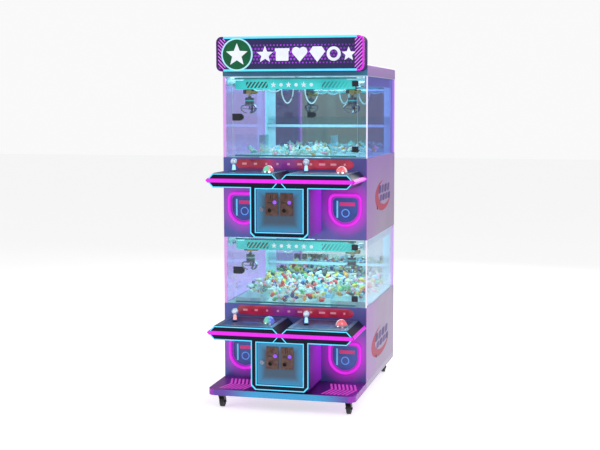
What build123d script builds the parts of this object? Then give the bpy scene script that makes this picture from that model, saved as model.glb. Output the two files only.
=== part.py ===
from build123d import *
from collections import namedtuple
import math
import os

# Two-deck, four-player crane game cabinet (claw machine) on casters.
# Frame: +Z up, +Y towards the back, +X to the player's right. Origin on the floor
# under the middle of the overall footprint. All sizes in millimetres.
# Depths (y) given to the helpers are measured back from the cabinet's front sheet,
# so negative depths stand out towards the player.

os.makedirs("parts", exist_ok=True)

# ---------------------------------------------------------------- driving sizes
CAB_W = 800.0          # cabinet width
CAB_D = 870.0          # cabinet depth, front sheet to rear sheet
HALF_W = CAB_W / 2
FRONT_Y = -275.25      # the front sheet's y in the part frame
SHEET = 3.0            # sheet metal thickness
LET_IN_HALF_W = 396.9  # half width of front and rear sheets, between the side sheets
LINER_HALF_W = 396.5   # half width of decks and of the lower ceiling
LINER_GAP = 3.5        # decks' gap to the front and rear planes

BASE_Z0, BASE_Z1 = 86.0, 120.0       # footplate underside and top
FOOT = 312.0                         # how far the footplate and consoles stand out
FOOT_R = 42.0                        # footplate corner radius
CONSOLE_D = FOOT - 1                 # console depth, front sheet to front fascia

LOWER_CONSOLE_Z = 423.0
TIER_PITCH = 805.0
DECK_UP = 108.0                      # deck top above console middle
UPPER_BODY_Z = 898.0                 # lower display window ends, upper body starts
UPPER_GLASS_TOP = 1771.0

# console: its middle height; fence: chute fence height above the deck;
# rail_up: height of the cross rail's middle above the deck
Tier = namedtuple("Tier", "name bottom console deck glass_top fence rail_up")
UPPER_CONSOLE_Z = LOWER_CONSOLE_Z + TIER_PITCH
TIERS = (
    Tier("lower", BASE_Z1, LOWER_CONSOLE_Z, LOWER_CONSOLE_Z + DECK_UP, UPPER_BODY_Z, 90, 120),
    Tier("upper", UPPER_BODY_Z, UPPER_CONSOLE_Z, UPPER_CONSOLE_Z + DECK_UP,
         UPPER_GLASS_TOP, 120, 158),
)
SIDES = {"left": -1, "right": 1}
BOTH = (-1, 1)

ROOF_Z0, ROOF_Z1 = UPPER_GLASS_TOP + SHEET, 1833.0
MARQ_Z0, MARQ_Z1 = 1797.0, 1980.0
MARQ_W, MARQ_D, MARQ_R = CAB_W, 100.0, 30.0
MARQ_H, MARQ_MID = MARQ_Z1 - MARQ_Z0, (MARQ_Z0 + MARQ_Z1) / 2

# Heights named ..._TOP, ..._BOT and ..._MID below are measured from the console's middle.
HEX_W, HEX_H, HEX_CHAMFER = 197.0, 37.5, 36.0        # console half width, half height
STICK_DX, BUTTON_DX, CTRL_Y = -89.0, 101.0, -172.0   # controls, from a console's middle
PLATE_T = 2.0                                        # control plate thickness
PIVOT_UP = 18.0                                      # joystick pivot above console middle
DOME_R, BEZEL_R = 30.0, 35.0

COIN_HALF_W, COIN_BOT, COIN_CHAMFER = 156.0, -294.0, 22.0   # coin bay fascia
BAY_HALF_W, BAY_TOP, BAY_BOT = 125.0, -41.0, -264.0         # coin door opening
BAY_H, BAY_MID = BAY_TOP - BAY_BOT, (BAY_TOP + BAY_BOT) / 2

CHUTE_X = 282.0                                      # middle of chute hole and flap
HOLE_HALF_W, HOLE_TOP, HOLE_BOT = 68.0, -104.0, -236.0
CHUTE_IN_X, CHUTE_OUT_X, CHUTE_BACK_Y = 200.0, 394.0, 196.0  # chute walls' outer faces

GLASS_Y0, GLASS_Y1 = 1.0, 7.0                        # front glass, front and back faces
RAIL_DROP = 49.0                                     # crane rails' height

CASTER_X, CASTER_FRONT_Y, CASTER_REAR_Y = 348.0, -222.0, 800.0
CASTERS = {
    "front_left": (-CASTER_X, CASTER_FRONT_Y),
    "front_right": (CASTER_X, CASTER_FRONT_Y),
    "rear_left": (-CASTER_X, CASTER_REAR_Y),
    "rear_right": (CASTER_X, CASTER_REAR_Y),
}
CASTER_PLATE_Z = BASE_Z0 - 3.5                       # underside of the caster top plates


# ---------------------------------------------------------------- helpers
def to_y(depth):
    """Depth behind the front sheet, as y in the part frame."""
    return FRONT_Y + depth


def block(x0, x1, y0, y1, z0, z1, mode=Mode.ADD):
    with Locations(((x0 + x1) / 2, to_y((y0 + y1) / 2), (z0 + z1) / 2)):
        Box(abs(x1 - x0), abs(y1 - y0), abs(z1 - z0), mode=mode)


def rod_x(x0, x1, y, z, radius, mode=Mode.ADD):
    with Locations(Location(((x0 + x1) / 2, to_y(y), z), (0, 90, 0))):
        Cylinder(radius, abs(x1 - x0), mode=mode)


def rod_y(x, y0, y1, z, radius, mode=Mode.ADD):
    with Locations(Location((x, to_y((y0 + y1) / 2), z), (90, 0, 0))):
        Cylinder(radius, abs(y1 - y0), mode=mode)


def rod_z(x, y, z0, z1, radius, mode=Mode.ADD):
    with Locations((x, to_y(y), (z0 + z1) / 2)):
        Cylinder(radius, abs(z1 - z0), mode=mode)


def ball(x, y, z, radius):
    with Locations((x, to_y(y), z)):
        Sphere(radius)


def front(depth, x=0):
    """Sketch plane facing the player: local x is X, local y is Z."""
    return Plane(origin=(x, to_y(depth), 0), x_dir=(1, 0, 0), z_dir=(0, -1, 0))


def across(x):
    """Sketch plane across the machine at x: local x is Y, local y is Z."""
    return Plane(origin=(x, 0, 0), x_dir=(0, 1, 0), z_dir=(1, 0, 0))


def console_x(side):
    """Middle of one player's console."""
    return side * (HEX_W + 0.5)


def save(builder, name):
    part = builder.part
    part.label = name
    export_step(part, f"parts/{name}.step")


# ---------------------------------------------------------------- shared outlines
def hex_points(xc, zc, grow=0.0):
    """Long hexagon of one console."""
    half_w, half_h = HEX_W + grow * 1.40, HEX_H + grow
    chamfer = HEX_CHAMFER + grow * 0.40
    return [
        (xc - half_w, zc),
        (xc - half_w + chamfer, zc + half_h),
        (xc + half_w - chamfer, zc + half_h),
        (xc + half_w, zc),
        (xc + half_w - chamfer, zc - half_h),
        (xc - half_w + chamfer, zc - half_h),
        (xc - half_w, zc),
    ]


def tee_points(zc, inset=0.0):
    """Outline of the front fascia: two long hexagons over a chamfered coin bay."""
    tip = 2 * HEX_W - inset * 1.40
    shoulder = 2 * HEX_W - HEX_CHAMFER - inset * 0.42
    notch = HEX_CHAMFER + inset * 0.42
    top, bottom = zc + HEX_H - inset, zc - HEX_H + inset
    coin_x, coin_z = COIN_HALF_W - inset, zc + COIN_BOT + inset
    return [
        (-tip, zc),
        (-shoulder, top),
        (-notch, top),
        (0, zc + 1.0 - inset * 1.40),
        (notch, top),
        (shoulder, top),
        (tip, zc),
        (shoulder, bottom),
        (coin_x, bottom),
        (coin_x, coin_z + COIN_CHAMFER),
        (coin_x - COIN_CHAMFER, coin_z),
        (-coin_x + COIN_CHAMFER, coin_z),
        (-coin_x, coin_z + COIN_CHAMFER),
        (-coin_x, bottom),
        (-shoulder, bottom),
        (-tip, zc),
    ]


def hole_outline(xc, zc, half_w, top, bottom, radius):
    """Chute outline for the open BuildLine: rounded top corners, half-round bottom."""
    z_top, z_arc = zc + top, zc + bottom + half_w
    x0, x1 = xc - half_w, xc + half_w
    Line((x0 + radius, z_top), (x1 - radius, z_top))
    RadiusArc((x1 - radius, z_top), (x1, z_top - radius), radius)
    Line((x1, z_top - radius), (x1, z_arc))
    RadiusArc((x1, z_arc), (x0, z_arc), half_w)
    Line((x0, z_arc), (x0, z_top - radius))
    RadiusArc((x0, z_top - radius), (x0 + radius, z_top), radius)


def star_points(xc, zc, outer_r, inner_r):
    """Closed five-pointed star, one point up."""
    points = []
    for k in range(11):
        angle = math.pi / 2 + k * math.pi / 5
        radius = outer_r if k % 2 == 0 else inner_r
        points.append((xc + radius * math.cos(angle), zc + radius * math.sin(angle)))
    return points


# ---------------------------------------------------------------- base and sheet metal
def base_platform():
    """Hollow footplate with a cross channel over each pair of casters."""
    channel_x, channel_y = HALF_W - 1, 42.0    # channel half length and half width
    with BuildPart() as base:
        with BuildSketch(Plane.XY.offset(BASE_Z0)) as outline:
            with Locations((0, to_y((CAB_D - FOOT) / 2))):
                Rectangle(CAB_W, CAB_D + FOOT)
            fillet(outline.vertices().group_by(Axis.Y)[0], FOOT_R)
        extrude(amount=BASE_Z1 - BASE_Z0)
        top_edges = base.edges().group_by(Axis.Z)[-1]
        fillet(top_edges.group_by(Axis.Y)[0], 2.0)
        with BuildSketch(Plane.XY.offset(BASE_Z0)) as outline:
            with Locations((0, to_y((CAB_D - FOOT) / 2))):
                Rectangle(CAB_W - 2 * SHEET, CAB_D + FOOT - 2 * SHEET)
            fillet(outline.vertices().group_by(Axis.Y)[0], FOOT_R - SHEET)
        extrude(amount=BASE_Z1 - BASE_Z0 - SHEET, mode=Mode.SUBTRACT)
        for y in (CASTER_FRONT_Y, CASTER_REAR_Y):
            y0, y1 = y - channel_y, y + channel_y
            block(-channel_x, channel_x, y0, y1, BASE_Z0, BASE_Z0 + 4)
            block(-channel_x, channel_x, y0, y0 + SHEET, BASE_Z0, BASE_Z1 - 1)
            block(-channel_x, channel_x, y1 - SHEET, y1, BASE_Z0, BASE_Z1 - 1)
        # caster top plates with their ball race housings
        for x, y in CASTERS.values():
            with BuildSketch(Plane.XY.offset(CASTER_PLATE_Z)):
                with Locations((x, to_y(y))):
                    RectangleRounded(74, 64, 6)
            extrude(amount=3.0)
            rod_z(x, y, BASE_Z0 - 9, CASTER_PLATE_Z, 20)
    save(base, "base_platform")


def side_rear_panels():
    with BuildPart() as panels:
        for side in BOTH:
            for tier in TIERS:
                block(side * (HALF_W - SHEET), side * HALF_W, 0, CAB_D, tier.bottom, tier.deck)
        # rear sheets, let in between the side sheets, with vent slots
        for tier in TIERS:
            with BuildSketch(front(CAB_D)):
                with Locations((0, (tier.bottom + tier.deck) / 2)):
                    Rectangle(2 * LET_IN_HALF_W, tier.deck - tier.bottom)
                with Locations((0, tier.bottom + 230)):
                    with GridLocations(150, 22, 3, 6):
                        SlotOverall(110, 8, mode=Mode.SUBTRACT)
            extrude(amount=SHEET)
    save(panels, "side_rear_panels")


def front_panels():
    """Front sheets, cut for the two chute holes and behind the coin bay."""
    with BuildPart() as panels:
        for tier in TIERS:
            z = tier.console
            with BuildSketch(front(0)):
                with Locations((0, (tier.bottom + tier.deck) / 2)):
                    Rectangle(2 * LET_IN_HALF_W, tier.deck - tier.bottom)
                for side in BOTH:
                    with BuildLine():
                        hole_outline(side * CHUTE_X, z, HOLE_HALF_W, HOLE_TOP, HOLE_BOT, 20)
                    make_face(mode=Mode.SUBTRACT)
                with Locations((0, z - 160)):
                    Rectangle(200, 170, mode=Mode.SUBTRACT)
            extrude(amount=-SHEET)
    save(panels, "front_panels")


def roof_panel():
    """Roof tray, open underneath, with its long top edges rounded."""
    inner_x = HALF_W - SHEET
    with BuildPart() as roof:
        block(-HALF_W, HALF_W, 0, CAB_D, ROOF_Z0, ROOF_Z1)
        fillet(roof.edges().filter_by(Axis.Y).group_by(Axis.Z)[-1], 6)
        block(-inner_x, inner_x, SHEET, CAB_D - SHEET, ROOF_Z0, ROOF_Z1 - SHEET,
              mode=Mode.SUBTRACT)
    save(roof, "roof_panel")


def prize_decks():
    """Decks, ceilings and the prize chutes folded down from the decks."""
    wall, wall_front_y = 2.0, 5.0
    chute_bot = -252.0                             # from console middle
    deck_front_y, deck_back_y = LINER_GAP, CAB_D - LINER_GAP
    with BuildPart() as decks:
        for tier in TIERS:
            with BuildSketch(Plane.XY.offset(tier.deck - SHEET)):
                with BuildLine():
                    Polyline(
                        (-LINER_HALF_W, to_y(CHUTE_BACK_Y)),
                        (-CHUTE_IN_X, to_y(CHUTE_BACK_Y)),
                        (-CHUTE_IN_X, to_y(deck_front_y)),
                        (CHUTE_IN_X, to_y(deck_front_y)),
                        (CHUTE_IN_X, to_y(CHUTE_BACK_Y)),
                        (LINER_HALF_W, to_y(CHUTE_BACK_Y)),
                        (LINER_HALF_W, to_y(deck_back_y)),
                        (-LINER_HALF_W, to_y(deck_back_y)),
                        close=True,
                    )
                make_face()
            extrude(amount=SHEET)
        # ceilings of the two display chambers
        block(-LINER_HALF_W, LINER_HALF_W, deck_front_y, deck_back_y,
              UPPER_BODY_Z, UPPER_BODY_Z + SHEET)
        block(-399, 399, 1, 868, UPPER_GLASS_TOP, UPPER_GLASS_TOP + SHEET)
        for tier in TIERS:
            z = tier.console
            z0 = z + chute_bot
            for side in BOTH:
                # back, inner and outer walls, then a floor sloping down to the front
                x_in, x_out = side * CHUTE_IN_X, side * CHUTE_OUT_X
                block(x_in, x_out, CHUTE_BACK_Y - wall, CHUTE_BACK_Y, z0, tier.deck)
                block(x_in, x_in + side * wall, wall_front_y, CHUTE_BACK_Y, z0, tier.deck)
                block(x_out - side * wall, x_out, wall_front_y, CHUTE_BACK_Y, z0, tier.deck)
                with BuildSketch(across(min(x_in, x_out))):
                    with BuildLine():
                        Polyline(
                            (to_y(wall_front_y), z0),
                            (to_y(wall_front_y), z0 + wall),
                            (to_y(CHUTE_BACK_Y), z0 + 27),
                            (to_y(CHUTE_BACK_Y), z0 + 25),
                            close=True,
                        )
                    make_face()
                extrude(amount=CHUTE_OUT_X - CHUTE_IN_X)
    save(decks, "prize_decks")


# ---------------------------------------------------------------- display chambers
def display_frames():
    """Rear corner angles, crane rails and the white rail low on the back window."""
    rail_front_y, rail_len = 20.0, 770.0
    with BuildPart() as frames:
        for tier in TIERS:
            top = tier.glass_top
            rail_bot, ledge = top - RAIL_DROP, top - RAIL_DROP + SHEET
            for side in BOTH:
                # rear corner angle
                with BuildSketch(Plane.XY.offset(tier.deck)):
                    with BuildLine():
                        Polyline(
                            (side * 338, to_y(856)),
                            (side * 388, to_y(856)),
                            (side * 388, to_y(792)),
                            (side * 385, to_y(792)),
                            (side * 385, to_y(853)),
                            (side * 338, to_y(853)),
                            close=True,
                        )
                    make_face()
                extrude(amount=top - tier.deck)
                # outer crane rail, an angle hung from the ceiling
                with BuildSketch(front(rail_front_y)):
                    with BuildLine():
                        Polyline(
                            (side * 367.5, rail_bot),
                            (side * 383.5, rail_bot),
                            (side * 383.5, top),
                            (side * 380.5, top),
                            (side * 380.5, ledge),
                            (side * 367.5, ledge),
                            close=True,
                        )
                    make_face()
                extrude(amount=-rail_len)
            # middle crane rail, a tee hung from the ceiling
            with BuildSketch(front(rail_front_y)):
                with BuildLine():
                    Polyline(
                        (-20, rail_bot), (20, rail_bot), (20, ledge), (1.5, ledge),
                        (1.5, top), (-1.5, top), (-1.5, ledge), (-20, ledge),
                        close=True,
                    )
                make_face()
            extrude(amount=-rail_len)
            z = tier.deck + tier.rail_up
            block(-384.5, 384.5, 842, 852.5, z - 8, z + 8)
    save(frames, "display_frames")


def fixed_glass():
    strip_outer_x = {-1: 383.5, 1: 393.3}      # outer edges of the front strips
    fence_t = 4.0
    fence_in_x, fence_back_y = CHUTE_IN_X - fence_t, CHUTE_BACK_Y + fence_t
    with BuildPart() as glass:
        for tier in TIERS:
            deck, top = tier.deck, tier.glass_top
            for side in BOTH:
                block(side * 393.5, side * 398, 14.5, 852.5, deck, top)
                block(side * 351.5, side * strip_outer_x[side], GLASS_Y0, GLASS_Y1, deck, top)
                # clear fence round the prize chute
                fence_z = deck + tier.fence
                block(side * fence_in_x, side * CHUTE_IN_X, 16, fence_back_y, deck, fence_z)
                block(side * fence_in_x, side * 392, CHUTE_BACK_Y, fence_back_y, deck, fence_z)
            # low pane standing on the white cross rail
            z = deck + tier.rail_up
            block(-384, 384, 846, 849, z + 8, z + 56)
    save(glass, "fixed_glass")


def rear_mirrors():
    """Mirrored back wall of each chamber."""
    with BuildPart() as mirrors:
        for tier in TIERS:
            block(-388, 388, 858, 863, tier.deck, tier.glass_top)
    save(mirrors, "rear_mirrors")


# ---------------------------------------------------------------- consoles
def console_housings():
    """Two hollow hexagonal consoles and a coin bay box on each tier."""
    box_half_w, box_bot, box_top = 150.0, -290.0, -HEX_H - 0.5
    with BuildPart() as housings:
        for tier in TIERS:
            z = tier.console
            for side in BOTH:
                x = console_x(side)
                with BuildSketch(front(0)):
                    with BuildLine():
                        Polyline(*hex_points(x, z))
                    make_face()
                extrude(amount=CONSOLE_D)
                with BuildSketch(front(0)):
                    with BuildLine():
                        Polyline(*hex_points(x, z, -SHEET))
                    make_face()
                extrude(amount=CONSOLE_D - SHEET, mode=Mode.SUBTRACT)
                # joystick and button holes
                for control_dx, radius in ((STICK_DX, 14), (BUTTON_DX, 29)):
                    rod_z(x + control_dx, CTRL_Y, z + 30, z + 40, radius, mode=Mode.SUBTRACT)
            # coin bay box under the consoles, open at front and back
            block(-box_half_w, box_half_w, -CONSOLE_D, 0, z + box_bot, z + box_top)
            block(-box_half_w + SHEET, box_half_w - SHEET, -FOOT, 1,
                  z + box_bot + SHEET, z + box_top - SHEET, mode=Mode.SUBTRACT)
            # front fascia across both consoles and round the coin door opening
            with BuildSketch(front(-CONSOLE_D)):
                with BuildLine():
                    Polyline(*tee_points(z))
                make_face()
                with Locations((0, z + BAY_MID)):
                    Rectangle(2 * BAY_HALF_W, BAY_H, mode=Mode.SUBTRACT)
            extrude(amount=4)
    save(housings, "console_housings")


def control_plates():
    window_dx, window_y, window_w, window_d = 6.0, -196.0, 70.0, 30.0
    window_fit = 0.2                    # gap round the credit display in its cutout
    with BuildPart() as plates:
        for tier in TIERS:
            z = tier.console
            top = z + HEX_H
            for side in BOTH:
                x = console_x(side)
                x_stick, x_button, x_window = x + STICK_DX, x + BUTTON_DX, x + window_dx
                with BuildSketch(Plane.XY.offset(top)):
                    with Locations((x, to_y(-156))):
                        RectangleRounded(318, 296, 4)
                    with Locations((x_stick, to_y(CTRL_Y))):
                        Circle(14, mode=Mode.SUBTRACT)
                    with Locations((x_button, to_y(CTRL_Y))):
                        Circle(BEZEL_R, mode=Mode.SUBTRACT)
                    with Locations((x_window, to_y(window_y))):
                        Rectangle(window_w, window_d, mode=Mode.SUBTRACT)
                extrude(amount=PLATE_T)
                # button bezel ring, seated through the plate on the console top
                with BuildSketch(Plane.XY.offset(top)):
                    with Locations((x_button, to_y(CTRL_Y))):
                        Circle(BEZEL_R - 0.05)
                        Circle(DOME_R + 0.6, mode=Mode.SUBTRACT)
                extrude(amount=7, taper=12)
                # credit display window
                half_w, half_d = window_w / 2 - window_fit, window_d / 2 - window_fit
                block(x_window - half_w, x_window + half_w,
                      window_y - half_d, window_y + half_d, top, top + 3)
                # joystick base under the console top: plate with two trunnion ears
                block(x_stick - 32, x_stick + 32, CTRL_Y - 28, CTRL_Y + 28, z + 31.5, z + 34.5)
                rod_z(x_stick, CTRL_Y, z + 29, z + 34.6, 15, mode=Mode.SUBTRACT)
                for end in BOTH:
                    x0, x1 = sorted((x_stick + end * 19.6, x_stick + end * 24.0))
                    block(x0, x1, CTRL_Y - 8, CTRL_Y + 8, z + 8, z + 32)
                    rod_x(x0 - 1, x1 + 1, CTRL_Y, z + PIVOT_UP, 3.06, mode=Mode.SUBTRACT)
    save(plates, "control_plates")


# ---------------------------------------------------------------- light tubes
TUBE_Y = -(FOOT + 3)                    # back of the tubes on the fascia


def cyan_led_tubes():
    bar_h = 11.0
    with BuildPart() as tubes:
        for tier in TIERS:
            z = tier.console
            with BuildSketch(front(TUBE_Y)):
                # fascia outline, interrupted for the magenta band
                with BuildLine():
                    Polyline(*tee_points(z, 1.0))
                make_face()
                with BuildLine():
                    Polyline(*tee_points(z, 6.0))
                make_face(mode=Mode.SUBTRACT)
                with Locations((0, z)):
                    Rectangle(900, 22, mode=Mode.SUBTRACT)
                # frame round the coin door opening
                with Locations((0, z + BAY_MID)):
                    Rectangle(2 * BAY_HALF_W + 10, BAY_H + 10)
                    Rectangle(2 * BAY_HALF_W, BAY_H, mode=Mode.SUBTRACT)
                # lower arms of the cross between the two consoles
                for side in BOTH:
                    with BuildLine():
                        Polyline(
                            (side * 10.5, z - 12), (side * 16.5, z - 12),
                            (side * 38.5, z - 35.9), (side * 32.5, z - 35.9),
                            (side * 10.5, z - 12),
                        )
                    make_face()
            extrude(amount=3)
        # light bars along the marquee's top and bottom front edges
        for z in (MARQ_Z1 - bar_h, MARQ_Z0):
            block(-362, 362, -MARQ_D - 5, -MARQ_D, z, z + bar_h)
    save(tubes, "cyan_led_tubes")


def magenta_led_tubes():
    ring_half_w, ring_top, ring_bot, ring_corner_r = 84.0, -88.0, -252.0, 30.0
    ring_r = 7.5                               # tube radius
    bar_inner_x = {-1: 384.0, 1: 393.8}        # inner faces of the front corner bars
    tip = 2 * HEX_W                            # x of the consoles' outer tips
    with BuildPart() as tubes:
        for tier in TIERS:
            z = tier.console
            deck, top = tier.deck, tier.glass_top
            # broad band across both consoles
            with BuildSketch(front(TUBE_Y)):
                with BuildLine():
                    Polyline(
                        (-tip + 1, z), (-tip + 10, z + 10), (tip - 10, z + 10), (tip - 1, z),
                        (tip - 10, z - 10), (-tip + 10, z - 10), (-tip + 1, z),
                    )
                make_face()
            extrude(amount=4)
            for side in BOTH:
                # the band runs back along each end edge of the console
                x = side * (tip + 0.6)
                with BuildSketch(front(-0.5)):
                    with BuildLine():
                        Polyline(
                            (x, z), (x - side * 9.6, z + 10), (x - side * 6.6, z + 12.7),
                            (x + side * 4.6, z + 1.0), (x + side * 4.6, z - 1.0),
                            (x - side * 6.6, z - 12.7), (x - side * 9.6, z - 10), (x, z),
                        )
                    make_face()
                extrude(amount=FOOT - 1.5)
                # lit corner bars of the display window, front and rear
                block(side * bar_inner_x[side], side * 399.5, 0.5, 14, deck, top)
                block(side * 388.5, side * HALF_W, 853, 866, deck, top)
                # neon ring round the chute flap
                with BuildLine(front(-ring_r - 0.2)) as ring:
                    hole_outline(side * CHUTE_X, z, ring_half_w, ring_top, ring_bot,
                                 ring_corner_r)
                path = ring.wires()[0]
                with BuildSketch(Plane(origin=path @ 0, z_dir=path % 0)):
                    Circle(ring_r)
                sweep(path=path)
        # lit ends of the marquee
        for side in BOTH:
            with BuildSketch(front(-MARQ_D)):
                with Locations((0, MARQ_MID)):
                    RectangleRounded(MARQ_W + 4, MARQ_H, MARQ_R)
                    RectangleRounded(MARQ_W - 14, MARQ_H - 18, MARQ_R - 9, mode=Mode.SUBTRACT)
                with Locations((-side * 38.0, MARQ_MID)):
                    Rectangle(MARQ_W, 400, mode=Mode.SUBTRACT)
            extrude(amount=5)
    save(tubes, "magenta_led_tubes")


# ---------------------------------------------------------------- marquee
def marquee_housing():
    """Rounded box, open at the front."""
    with BuildPart() as housing:
        with BuildSketch(front(-0.2)):
            with Locations((0, MARQ_MID)):
                RectangleRounded(MARQ_W, MARQ_H, MARQ_R)
        extrude(amount=MARQ_D - 0.2)
        with BuildSketch(front(-0.2 - SHEET)):
            with Locations((0, MARQ_MID)):
                RectangleRounded(MARQ_W - 14, MARQ_H - 22, MARQ_R - 9)
        extrude(amount=MARQ_D, mode=Mode.SUBTRACT)
    save(housing, "marquee_housing")


def marquee_face():
    """Smoked acrylic face with a round badge and a row of raised symbols."""
    z = 1886.0                                   # middle of the badge and symbols
    badge_x, badge_r = -285.0, 86.0
    badge_back_y, badge_front_y = -MARQ_D - 5.2, -MARQ_D - 9
    symbol_y = -MARQ_D - 1.05
    gift_x, heart_x, ring_x = -38.0, 57.0, 240.0
    with BuildPart() as face:
        # face, let into the housing
        with BuildSketch(front(-MARQ_D + 3)):
            with Locations((0, MARQ_MID)):
                RectangleRounded(MARQ_W - 15, MARQ_H - 23, MARQ_R - 9.5)
        extrude(amount=4)
        # round badge with a raised rim and a plain star
        rod_y(badge_x, badge_front_y, badge_back_y, z, badge_r)
        with BuildSketch(front(badge_front_y)):
            with Locations((badge_x, z)):
                Circle(badge_r)
                Circle(badge_r - 7, mode=Mode.SUBTRACT)
        extrude(amount=3)
        with BuildSketch(front(badge_front_y)):
            with BuildLine():
                Polyline(*star_points(badge_x, z - 3, 62, 27))
            make_face()
        extrude(amount=3)
        # back post of the badge
        rod_y(badge_x, badge_back_y, symbol_y, z, 50)
        # raised white symbols
        with BuildSketch(front(symbol_y)):
            # star
            with BuildLine():
                Polyline(*star_points(-132, z - 3, 46, 20))
            make_face()
            # gift box and its lid
            with Locations((gift_x, z - 10)):
                RectangleRounded(68, 50, 5)
            with Locations((gift_x, z + 22)):
                RectangleRounded(78, 16, 4)
            # heart
            with Locations((heart_x - 19, z + 14), (heart_x + 19, z + 14)):
                Circle(22)
            with BuildLine():
                Polyline(
                    (heart_x - 35.5, z), (heart_x, z - 40), (heart_x + 35.5, z),
                    (heart_x, z + 26), (heart_x - 35.5, z),
                )
            make_face()
            # gem
            with BuildLine():
                Polyline(
                    (110, z + 12), (128, z + 38), (176, z + 38),
                    (194, z + 12), (152, z - 42), (110, z + 12),
                )
            make_face()
            # ring
            with Locations((ring_x, z)):
                Circle(37)
                Circle(22, mode=Mode.SUBTRACT)
            # small star
            with BuildLine():
                Polyline(*star_points(320, z - 3, 38, 17))
            make_face()
        extrude(amount=5)
    save(face, "marquee_face")


def printed_panels():
    with BuildPart() as panels:
        for tier in TIERS:
            z, top = tier.console, tier.glass_top
            # header strip hung behind the window
            with BuildSketch(front(15)):
                with BuildLine():
                    Polyline(
                        (-332, top - 67), (332, top - 67), (332, top - 20),
                        (288, top - 20), (280, top - 8), (-280, top - 8),
                        (-288, top - 20), (-332, top - 20), (-332, top - 67),
                    )
                make_face()
            extrude(amount=3)
            # lit instruction strip above the console
            with BuildSketch(front(-0.2)):
                with BuildLine():
                    Polyline(
                        (-330, z + 74), (-312, z + 100), (300, z + 100),
                        (322, z + 88), (330, z + 74), (322, z + 60),
                        (300, z + 48), (-312, z + 48), (-330, z + 74),
                    )
                make_face()
            extrude(amount=3)
    save(panels, "printed_panels")


def panel_screws():
    head_r, edge = 5.0, 14.0            # edge: screw row to the sheet's top or bottom
    with BuildPart() as screws:
        for tier in TIERS:
            rows = (tier.bottom + edge, tier.deck - edge)
            for x in (-380, -190, 0, 190, 380):
                for z in rows:
                    rod_y(x, CAB_D, CAB_D + 2.5, z, head_r)
            for side in BOTH:
                for z in rows:
                    for y in (24, 846):
                        rod_x(side * HALF_W, side * (HALF_W + 2), y, z, head_r)
            # control plate screws
            z = tier.console + HEX_H + PLATE_T
            for side in BOTH:
                for dx in (-150, 150):
                    for y in (-18, -294):
                        rod_z(console_x(side) + dx, y, z, z + 1.6, 3.5)
        # caster plate screws
        for x, y in CASTERS.values():
            for dx in (-29, 29):
                for dy in (-24, 24):
                    rod_z(x + dx, y + dy, CASTER_PLATE_Z - 3, CASTER_PLATE_Z, head_r)
    save(screws, "panel_screws")


# ---------------------------------------------------------------- doors and flaps
def glass_door(tier):
    """Window pane, and separately its rails, hinge clamps and lock."""
    hinge_x, hinge_y, hinge_half_h = 349.0, -5.0, 15.0
    rail_h = 8.0
    lock_x, lock_r = -304.0, 19.0
    z0, z1 = tier.deck + 6, tier.glass_top - 5
    z_mid = (z0 + z1) / 2
    with BuildPart() as pane:
        block(-346, 346, GLASS_Y0, GLASS_Y1, z0 + rail_h, z1 - rail_h)
    save(pane, f"glass_door_{tier.name}")
    with BuildPart() as fittings:
        for z in (z0, z1 - rail_h):
            block(-334, 340, GLASS_Y0 - 0.5, GLASS_Y1 + 0.5, z, z + rail_h)
        for z in (z0 + 42, z1 - 34):
            low, high = z - hinge_half_h, z + hinge_half_h
            block(318, hinge_x - 0.8, hinge_y + 0.2, GLASS_Y0, low, high)
            block(318, 344, GLASS_Y1, GLASS_Y1 + 5, low, high)
            rod_z(hinge_x, hinge_y + 3.6, low, high, 3.4)
        # cam lock clamp at the free edge: front plate, then back plate
        for y in (GLASS_Y0, GLASS_Y1 + 5):
            with BuildSketch(front(y)):
                with Locations((-325, z_mid)):
                    Rectangle(42, 2 * lock_r)
                with Locations((lock_x, z_mid)):
                    Circle(lock_r)
            extrude(amount=5)
        rod_y(lock_x, -8, -4, z_mid, 10)
    save(fittings, f"glass_door_fittings_{tier.name}")


DOOR_Y = -(FOOT + 1)                    # front face of the coin door
ACCEPTOR_XS = (-39.0, 39.5)


def coin_door(tier):
    """Door leaf with its stiffening flanges, hinge knuckles and cam lock."""
    z = tier.console
    z0, z1 = z + BAY_BOT, z + BAY_TOP
    flange_y0, flange_y1 = DOOR_Y + 3, DOOR_Y + 15
    lock_x, lock_z = -94.0, z - 144
    with BuildPart() as leaf:
        block(-122, 122, DOOR_Y, DOOR_Y + 3, z0 + 3, z1 - 3)
        for x in (-114, 108):
            block(x, x + 3, flange_y0, flange_y1, z0 + 11, z1 - 11)
        for low in (z0 + 11, z1 - 14):
            block(-114, 111, flange_y0, flange_y1, low, low + 3)
        for x in ACCEPTOR_XS:
            block(x - 29, x + 29, DOOR_Y - 1, DOOR_Y + 4, z - 172, z - 64, mode=Mode.SUBTRACT)
        # hinge knuckles at the right-hand edge
        for knuckle_z in (z0 + 36, z1 - 36):
            rod_z(121.0, DOOR_Y - 1.5, knuckle_z - 14, knuckle_z + 14, 3.2)
        # shallow pressed border
        with BuildSketch(front(DOOR_Y)):
            with Locations((0, z + BAY_MID)):
                Rectangle(226, 200)
                Rectangle(220, 194, mode=Mode.SUBTRACT)
        extrude(amount=1.2)
        # cam lock with its key slot
        rod_y(lock_x, DOOR_Y - 5, DOOR_Y, lock_z, 12.5)
        rod_y(lock_x, DOOR_Y - 9, DOOR_Y - 5, lock_z, 9)
        block(lock_x - 1.2, lock_x + 1.2, DOOR_Y - 10, DOOR_Y - 6.5, lock_z - 6, lock_z + 6,
              mode=Mode.SUBTRACT)
    save(leaf, f"coin_door_{tier.name}")


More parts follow.
